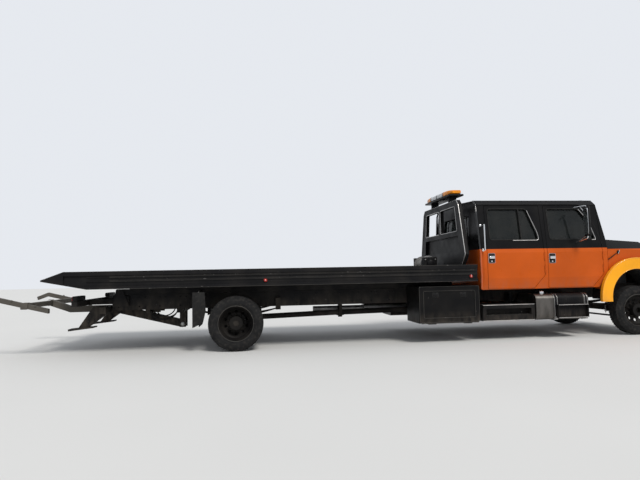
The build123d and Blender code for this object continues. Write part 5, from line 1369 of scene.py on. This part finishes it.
@dataclass
class Hoses(Assembly):
    """The hydraulic hoses that hang beside the lift's arm, from the tilt cylinders' brackets to the lift cylinder's."""

    diameter: float = 0.020
    top_z: float = 0.695
    runs: tuple[tuple[str, Flat, Flat, float, float], ...] = (
        ("near", (-3.698, -0.150), (-3.338, -0.082), 0.86, 0.661),
        ("middle", (-3.744, -0.152), (-3.294, -0.090), 1.08, 0.826),
        ("far", (-3.700, 0.150), (-3.310, 0.088), 1.00, 0.744))

    def hose(self, name: str, start: Flat, end: Flat, drop: float, length: float) -> None:
        """One hose: a spline through nine listed points, each a share t of the way from start to end and a
        depth below both, which drop multiplies.

        Args:
            name: which hose.
            start: the (x, y) of the port that it leaves.
            end: the (x, y) of the port that it enters.
            drop: how deep it hangs.
            length: its length; not used.
        """
        shares = np.array([(0, 0.0), (0, 0.080), (0.055, 0.170), (0.23, 0.237), (0.5, 0.263), (0.77, 0.237),
                           (0.945, 0.170), (1, 0.080), (1, 0.0)])
        flat = np.array(start) + shares[:, :1] * (np.array(end) - np.array(start))
        points = np.column_stack([flat, self.top_z - shares[:, 1] * drop]) + FORK_SHIFT
        curve = bpy.data.curves.new(f"lift_hose_{name}", "CURVE")
        curve.dimensions = "3D"
        curve.bevel_depth = self.diameter / 2
        curve.bevel_resolution = 5
        curve.resolution_u = 16
        curve.use_fill_caps = True
        spline = curve.splines.new("NURBS")
        spline.points.add(len(points) - 1)
        spline.points.foreach_set("co", np.column_stack([points, np.ones(len(points))]).ravel())
        spline.order_u = 3
        spline.use_endpoint_u = True
        curve.materials.append(self.paints.of(Coats.HOSE))
        made = bpy.data.objects.new(f"lift_hose_{name}", curve)
        bpy.context.scene.collection.objects.link(made)
        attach(made, "root")

    def build(self) -> None:
        """Makes the hoses, their crimped ends and the port blocks that hold them to the brackets."""
        ends, blocks, top = Form(), Form(), self.top_z
        for name, start, end, drop, length in self.runs:
            self.hose(name, start, end, drop, length)
            for (x, y), bracket_y in ((start, 0.1765), (end, 0.0615)):
                ends.tube([(x, y, top - 0.045), (x, y, top - 0.004)], 0.0135, ALONG_Y, 16)
                ends.tube([(x, y, top - 0.018), (x, y, top - 0.004)], 0.0175, ALONG_Y, 6)
                free_y = y - math.copysign(0.018, y * (bracket_y - abs(y)))
                held_y = math.copysign(bracket_y, y)
                blocks.box((x - 0.022, free_y, top - 0.008), (x + 0.022, held_y, top + 0.022), 0.005)
        self.make("hose_ends", ends, Coats.BOLT, 40.0)
        self.make("hose_port_blocks", blocks, Coats.FRAME, 40.0)


@dataclass
class Chassis(Assembly):
    """Bolts, leaves, U-bolts, air tank, brake chambers and flap fittings under the truck."""

    rail_y: float = 0.432
    rear_x: float = -2.320
    front_x: float = 4.260
    tank_middle: Flat = (0.572, 0.660)
    tank_radius: float = 0.105
    tank_xs: Flat = (-1.000, -0.600)
    chamber: Point = (-2.610, -0.335, 0.490)
    flap_x: float = -2.857
    leaf_reach: float = 0.620
    clamp_half: float = 0.051
    bolt_pitch: float = 0.31
    tilt_base: Point = (-3.600, -0.250, 0.655)
    tilt_ahead: Point = (0.984707, 0.0, 0.174217)
    lift_base: Point = (-3.270, 0.0, 0.660)
    lift_back: Point = (-0.99846, 0.0, 0.05547)

    def springs(self) -> None:
        """Each spring's leaves, whose height is z0 + (z1 - z0) s^2 over their length, and its U-bolts, and bolt heads
        in two rows along both rails."""
        leaves, clamps = Form(), Form()
        for x, y, middle, end, foot in ((self.rear_x, -0.500, 0.512, 0.580, 0.326),
                                        (self.front_x, -0.391, 0.489, 0.540, 0.348)):
            for n, reach in enumerate((0.615, 0.440, 0.280)):
                s = np.linspace(-1, 1, 25) * reach / self.leaf_reach
                height = middle + (end - middle) * s ** 2 - 0.007 - 0.014 * n
                leaves.bar(rounded_rectangle(0.0415, 0.0060, 0.003, 2),
                           np.stack([x + self.leaf_reach * s, 0 * s + y, height], axis=1), ALONG_Z)
            near, far = y - self.clamp_half, y + self.clamp_half
            legs = [(near, foot - 0.030), (near, middle + 0.010), (far, middle + 0.010), (far, foot - 0.030)]
            for shift in (-0.062, 0.062):
                clamps.tube(rounded_path(spread(legs, 0, x + shift), 0.015), 0.008, ALONG_X, 8)
            clamps.box((x - 0.085, y - 0.065, foot), (x + 0.085, y + 0.065, foot + 0.014), 0.012)
        self.make("spring_leaves", leaves.both(), Coats.CAST)
        self.make("spring_clamps", clamps.both(), Coats.WORN)
        along = np.arange(-4.15, 4.75, self.bolt_pitch)
        along = along[(np.abs(along - self.rear_x) > 0.66) & ((along < 0.42) | (along > 1.50))]
        places = [(x + shift, -self.rail_y, z) for x in along
                  for shift, z in ((0.0, 0.650), (0.0, 0.790), (0.09, 0.790))]
        self.make("rail_bolts", Form().bolts(places, 0.012, 0.010, 1).both(), Coats.BLACKED, 35.0)

    def air(self) -> None:
        """The air tank outside the left rail with its two straps, and the rear axle's brake chambers."""
        (y, z), radius = self.tank_middle, self.tank_radius
        arc = np.linspace(0.0, QUARTER, 7)
        dome = np.stack([radius * np.cos(arc), 0.045 * np.sin(arc)], axis=1)
        profile = np.concatenate([dome[::-1] * [1, -1] + [0, 0.045], dome + [0, 0.655]])
        straps = Form()
        for x in self.tank_xs:
            straps.bar(rounded_rectangle(0.016, 0.002, 0.0015, 2), spread(circle(radius + 0.003, 48) + [y, z], 0, x),
                       ALONG_X, True)
            straps.box((x - 0.016, 0.431, z - 0.050), (x + 0.016, y - radius + 0.012, z + 0.050), 0.006, 1)
        self.make("air_tank", Form().turned(profile, (-1.150, y, z), 0), Coats.BLACKED)
        self.make("air_tank_straps", straps, Coats.WORN)
        pot = [(0.0, 0.0), (0.040, 0.0), (0.066, 0.014), (0.072, 0.050), (0.080, 0.056), (0.080, 0.070), (0.072, 0.076),
               (0.066, 0.110), (0.040, 0.126), (0.0, 0.126)]
        x, y, z = self.chamber
        pots = Form().turned(pot, self.chamber, 0, 36)
        pots.tube([(x + 0.120, y, z), (x + 0.260, y, z - 0.020)], 0.009, ALONG_Y, 8)
        self.make("brake_chambers", pots.both(), Coats.CAST, 40.0)

    def flaps(self) -> None:
        """The clamp strips and bolts that hold the mud flaps, and the flaps' outer wings."""
        strip = Form().box((self.flap_x, -1.175, 0.840), (self.flap_x + 0.0075, -0.705, 0.880), 0.003, 1)
        strip.bolts([(self.flap_x, y, 0.860) for y in np.linspace(-1.14, -0.74, 5)], 0.010, 0.006, 0)
        self.make("flap_clamps", strip.both(), Coats.WORN, 35.0)
        outline = [(-2.940, 0.360), (-2.940, 0.875), (-2.765, 0.875), (-2.748, 0.600), (-2.790, 0.430)]
        wing = Form().pillow(rounded_path(outline, 0.012, 4, True), 1, -1.187, -1.181, 0.002)
        wing.tube([(-2.910, -1.181, 0.820), (-2.910, -0.430, 0.800)], 0.012, ALONG_X, 12)
        self.make("flap_wings", wing.both(), Coats.SEAL, 40.0)

    def cylinders(self) -> None:
        """Gland nuts, ports and pipes on the tilt cylinders and the lift's cylinder."""
        base, ahead, start, back = map(np.array, (self.tilt_base, self.tilt_ahead, self.lift_base, self.lift_back))
        glands = Form().tube([base + 1.005 * ahead, base + 1.036 * ahead], 0.0535, ALONG_Y, 24)
        glands.tube([base + 0.060 * ahead, base + 0.085 * ahead], 0.0515, ALONG_Y, 24)
        pipe = [base + reach * ahead + (0.0, 0.054, up) for reach, up in ((0.10, 0.030), (0.16, 0.044), (0.94, 0.044),
                                                                          (0.98, 0.030))]
        glands.tube(rounded_path(pipe, 0.02, 4), 0.006, ALONG_Y, 8)
        gland = Form().tube([start + 0.528 * back, start + 0.557 * back], 0.0425, ALONG_Y, 24)
        self.make("tilt_cylinder_glands", glands.both(), Coats.BOLT, 40.0, "tilt_barrels")
        self.make("lift_cylinder_gland", gland, Coats.BOLT, 40.0, "lift_barrel")

    def build(self) -> None:
        """Makes everything under the truck."""
        self.springs()
        self.air()
        self.flaps()
        self.cylinders()


@dataclass
class WheelLift(Assembly):
    """Pin heads, stop collars and weld beads on the wheel lift."""

    body: str = "wheel_lift"
    pivot: Point = (-3.220, -0.106, 0.332)
    tube_xs: Flat = (-5.348, -5.252)
    tube_zs: Flat = (0.682, 0.778)

    def build(self) -> None:
        """Makes the lift's fittings."""
        head = [(0.0, 0.0), (0.034, 0.0), (0.034, -0.010), (0.028, -0.014), (0.0, -0.014)]
        collars = Form().bolts([(-5.150, -0.982, 0.727), (-5.470, -0.982, 0.808)], 0.014, 0.010, 1)
        (back, front), (low, high) = self.tube_xs, self.tube_zs
        for y in (-0.900, -0.992):
            collars.box((back, y - 0.008, low), (front, y + 0.008, high), 0.012, 1)
        bead = round_frame(0, back + 0.012, (-0.052, low), (0.052, high), 0.01, 3)
        welds = Form().tube(bead, 0.005, ALONG_X, 6, True)
        self.make("lift_pivot_heads", Form().turned(head, self.pivot, 1, 24).both(), Coats.BOLT, 40.0, "root")
        self.make("fork_collars", collars.both(), Coats.FORK, 40.0)
        self.make("fork_welds", welds, Coats.WORN, 60.0)


@dataclass
class FrontEnd(Assembly):
    """Headlamps, indicators, grille surround, arches and latches on the hood, and the bumper's fittings."""

    body: str = "hood"
    lamp: Flat = (-0.690, 1.105)
    arch: Flat = (4.260, 0.620)
    lamp_x: float = 4.906
    bowl_x: float = 4.864
    grille_half: Flat = (0.438, 0.218)
    grille_z: float = 1.090
    flare_y: float = -1.074
    hook_y: float = -0.391

    def arc(self, radius: float, start: float, end: float, count: int) -> Array:
        """(x, z) points of an arc over the front wheel, between two angles in degrees."""
        angle = np.radians(np.linspace(start, end, count))
        return np.stack([np.cos(angle), np.sin(angle)], axis=1) * radius + self.arch

    def arches(self) -> None:
        """A black liner in each wheel arch, an arc carried inwards, and a rolled lip on each edge of the flare."""
        rim = np.concatenate([self.arc(0.4665, -4.0, 184.0, 60), self.arc(0.4625, 184.0, -4.0, 60)])
        liner = Form().grid(spread(rim, 1, np.linspace(-1.022, -0.560, 8)[:, None]))
        inner = [(4.736, 0.563), *self.arc(0.476, 0.0, 180.0, 40), (3.784, 0.563)]
        lip = Form().tube(spread(self.arc(0.648, -5.2, 185.2, 56), 1, self.flare_y), 0.009, ALONG_Y)
        lip.tube(spread(inner, 1, self.flare_y), 0.006, ALONG_Y, 8)
        self.make("arch_liners", liner.both(), Coats.SEAL)
        # The lips are painted in the flares' sun-glare yellow-orange.
        self.make("flare_lips", lip.both(), Coats.FLARE, 60.0)

    def lamps(self) -> None:
        """Each headlamp: a dark housing, a chrome bowl, a clear lens, a bezel, and an amber indicator beside it."""
        (y, z), face, deep = self.lamp, self.lamp_x, self.bowl_x
        bowl = [(0.0, 0.010), (0.018, 0.010), (0.046, 0.018), (0.066, 0.032), (0.070, 0.032), (0.048, 0.012),
                (0.018, 0.002), (0.0, 0.002)]
        bulb = [(0.0, 0.030), (0.008, 0.028), (0.011, 0.020), (0.009, 0.010), (0.0, 0.010)]
        lens = Form().plate(0, (y, z), (0.104, 0.079), face + 0.0005, face + 0.005, 0.018, 0.002)
        for across in y + np.linspace(-0.084, 0.084, 8):
            lens.box((face + 0.0035, across - 0.009, z - 0.066), (face + 0.0065, across + 0.009, z + 0.066), 0.0014, 2,
                     0.001)
        rim = round_frame(0, face, (y - 0.107, z - 0.082), (y + 0.107, z + 0.082), 0.02)
        for name, form, coat, smooth, nodes in (
            ("headlamp_housings", Form().plate(0, (y, z), (0.106, 0.081), deep - 0.007, deep, 0.02, 0.002),
             Coats.BLACKED, 50.0, []),
            ("headlamp_bowls", Form().turned(bowl, (deep, y, z), 0, 40), Coats.MIRROR, 60.0, []),
            ("headlamp_lenses", lens, Coats.HEADLAMP, 50.0, ["headlamps"]),
            ("headlamp_bulbs", Form().turned(bulb, (deep + 0.002, y, z), 0, 20), Coats.PALE, 60.0, []),
            ("headlamp_bezels", Form().tube(rim, 0.007, ALONG_X, 8, True), Coats.CHROME, 60.0, []),
            ("indicators", Form().plate(0, (-0.843, z), (0.022, 0.070), face, face + 0.0175, 0.012, 0.006),
             Coats.AMBER, 50.0, []),
        ):
            self.make(name, form.both(), coat, smooth, replaces=nodes)

    def grille(self) -> None:
        """The grille's surround and the thin upright slats behind its bars."""
        (half_y, half_z), z, slats = self.grille_half, self.grille_z, Form()
        rim = round_frame(0, 4.907, (-half_y, z - half_z), (half_y, z + half_z), 0.04, 6)
        self.make("grille_surround", Form().tube(rim, 0.009, ALONG_X, closed=True), Coats.CHROME, 60.0)
        for y in np.linspace(-0.385, 0.385, 23):
            slats.box((4.877, y - 0.0025, z - 0.2), (4.895, y + 0.0025, z + 0.2), 0.002, 2, 0.001)
        self.make("grille_slats", slats, Coats.BLACKED)

    def latches(self) -> None:
        """Rubber latches with bright hooks, aslant over the joint between cab and hood."""
        strap = [(3.795, -1.008, 1.255), (3.850, -1.004, 1.285), (3.950, -0.992, 1.345), (4.010, -0.986, 1.385)]
        latch = Form().bar(rounded_rectangle(0.004, 0.011, 0.003, 3), rounded_path(strap, 0.02, 4), ALONG_Y)
        latch.box((3.982, -1.001, 1.352), (4.020, -0.984, 1.402), 0.006, 1, 0.004)
        hook = rounded_path([(3.990, -1.003, 1.345), (4.003, -1.008, 1.376), (4.016, -1.003, 1.408)], 0.01)
        self.make("hood_latches", latch.both(), Coats.SEAL)
        self.make("hood_hooks", Form().tube(hook, 0.005, ALONG_Y, 8).both(), Coats.CHROME)

    def bumper(self) -> None:
        """Rubber step pads on the bumper's top, its bolts, and two tow hooks on plates under the rails' front ends."""
        bump = [(0.0, 0.002), (0.003, 0.002), (0.0045, 0.0), (0.0045, -0.001), (0.0, -0.001)]
        pads = Form().box((4.936, -0.985, 0.688), (4.990, -0.495, 0.6935), 0.006, 2, 0.002)
        pads.turned(bump, lattice(np.linspace(4.945, 4.983, 4), np.linspace(-0.96, -0.52, 28), 0.6935), 2, 8)
        loop = spread([(4.830, 0.418), (4.965, 0.418), (4.965, 0.360), (4.890, 0.360)], 1, self.hook_y)
        hooks = Form().tube(rounded_path(loop, 0.024, 6), 0.0115, ALONG_Y, 12)
        hooks.box((4.770, self.hook_y - 0.011, 0.385), (4.862, self.hook_y + 0.011, 0.604), 0.008, 1)
        head = [(0.0, 0.0), (0.016, 0.0), (0.015, 0.0035), (0.009, 0.006), (0.0, 0.0065)]
        bolts = Form().turned(head, [(4.9925, y, 0.565) for y in (-0.950, -0.470, -0.310)], 0, 20)
        self.make("bumper_pads", pads.both(), Coats.SEAL, body="root")
        self.make("tow_hooks", hooks.both(), Coats.CAST, body="root")
        self.make("bumper_bolts", bolts.both(), Coats.BOLT, body="root")

    def build(self) -> None:
        """Makes the front end's pieces."""
        self.arches()
        self.lamps()
        self.grille()
        self.latches()
        self.bumper()


# The studio


@dataclass
class Studio:
    """The floor, the lights and the camera at the photo's place."""

    eye: Point = (-2.038, -8.643, 1.095)
    right: Point = (0.99144, -0.12902, -0.01995)
    down: Point = (-0.01080, 0.07122, -0.99740)
    forward: Point = (0.13011, 0.98908, 0.06922)
    lens: float = 28.125
    reach: float = 60.0
    sky: Colour = (0.86, 0.89, 0.94)
    sky_strength: Flat = (0.72, 0.92)
    sun_strength: float = 2.2
    sun_width: float = 18.0
    sun_tilt: Flat = (38.0, 18.0)
    sun_colour: Colour = (1.0, 0.97, 0.92)

    def link(self, name: str, data: object) -> bpy.types.Object:
        """Makes an object of its data and puts it in the scene.

        Args:
            name: the object's name.
            data: its mesh, light or camera.

        Returns:
            The object.
        """
        made = bpy.data.objects.new(name, data)
        bpy.context.scene.collection.objects.link(made)
        return made

    def camera(self) -> None:
        """Sets up the camera."""
        data = bpy.data.cameras.new("photo_camera")
        data.lens, data.sensor_width, data.clip_end = self.lens, 36.0, 200.0
        rows = np.array([self.right, np.negative(self.down), np.negative(self.forward)])
        camera = self.link("photo_camera", data)
        camera.matrix_world = Matrix.Translation(FORK_SHIFT + self.eye) @ Matrix(rows.T.tolist()).to_4x4()
        bpy.context.scene.camera = camera

    def floor(self) -> None:
        """A plain pale floor."""
        mesh = bpy.data.meshes.new("floor")
        corners = [(x * self.reach, y * self.reach, -0.001) for x, y in ((-1, -1), (1, -1), (1, 1), (-1, 1))]
        mesh.from_pydata(corners, [], [(0, 1, 2, 3)])
        graph = Graph("floor_pale")
        graph.shade(Base_Color=graph.mix(graph.noise(0.4, 2.0), (0.62, 0.62, 0.61), (0.66, 0.66, 0.65)), Roughness=0.9)
        mesh.materials.append(graph.material)
        self.link("floor", mesh)

    def light(self) -> None:
        """A pale world, brighter where the camera sees it, and one broad soft sun."""
        world = bpy.data.worlds.new("studio_world")
        bpy.context.scene.world = world
        world.use_nodes = True
        tree = world.node_tree
        background = tree.nodes["Background"]
        background.inputs["Color"].default_value = (*self.sky, 1.0)
        seen, either, strength = (tree.nodes.new(f"ShaderNode{kind}") for kind in ("LightPath", "Math", "MapRange"))
        either.operation = "MAXIMUM"
        strength.inputs["To Min"].default_value, strength.inputs["To Max"].default_value = self.sky_strength
        for source, socket in ((seen.outputs["Is Camera Ray"], either.inputs[0]),
                               (seen.outputs["Is Transmission Ray"], either.inputs[1]),
                               (either.outputs[0], strength.inputs["Value"]),
                               (strength.outputs["Result"], background.inputs["Strength"])):
            tree.links.new(source, socket)
        data = bpy.data.lights.new("soft_sun", "SUN")
        data.energy, data.angle, data.color = self.sun_strength, math.radians(self.sun_width), self.sun_colour
        self.link("soft_sun", data).rotation_euler = (*np.radians(self.sun_tilt).tolist(), 0.0)

    def build(self) -> None:
        """Makes the whole studio."""
        self.camera()
        self.floor()
        self.light()
        bpy.context.scene.view_settings.view_transform = "Standard"


def main() -> None:
    """Builds the truck's pieces in order."""
    logging.basicConfig(level=logging.INFO, format="%(message)s")
    Studio().build()
    paints = Paintbox()
    Hoses(paints).build()
    paints.dress_nodes()
    for assembly in (Wheels, CabTrim, CabInside, BedTrim, Headboard, Winch, SideBoxes, Chassis, WheelLift, FrontEnd):
        assembly(paints).build()


if __name__ == "__main__":
    main()
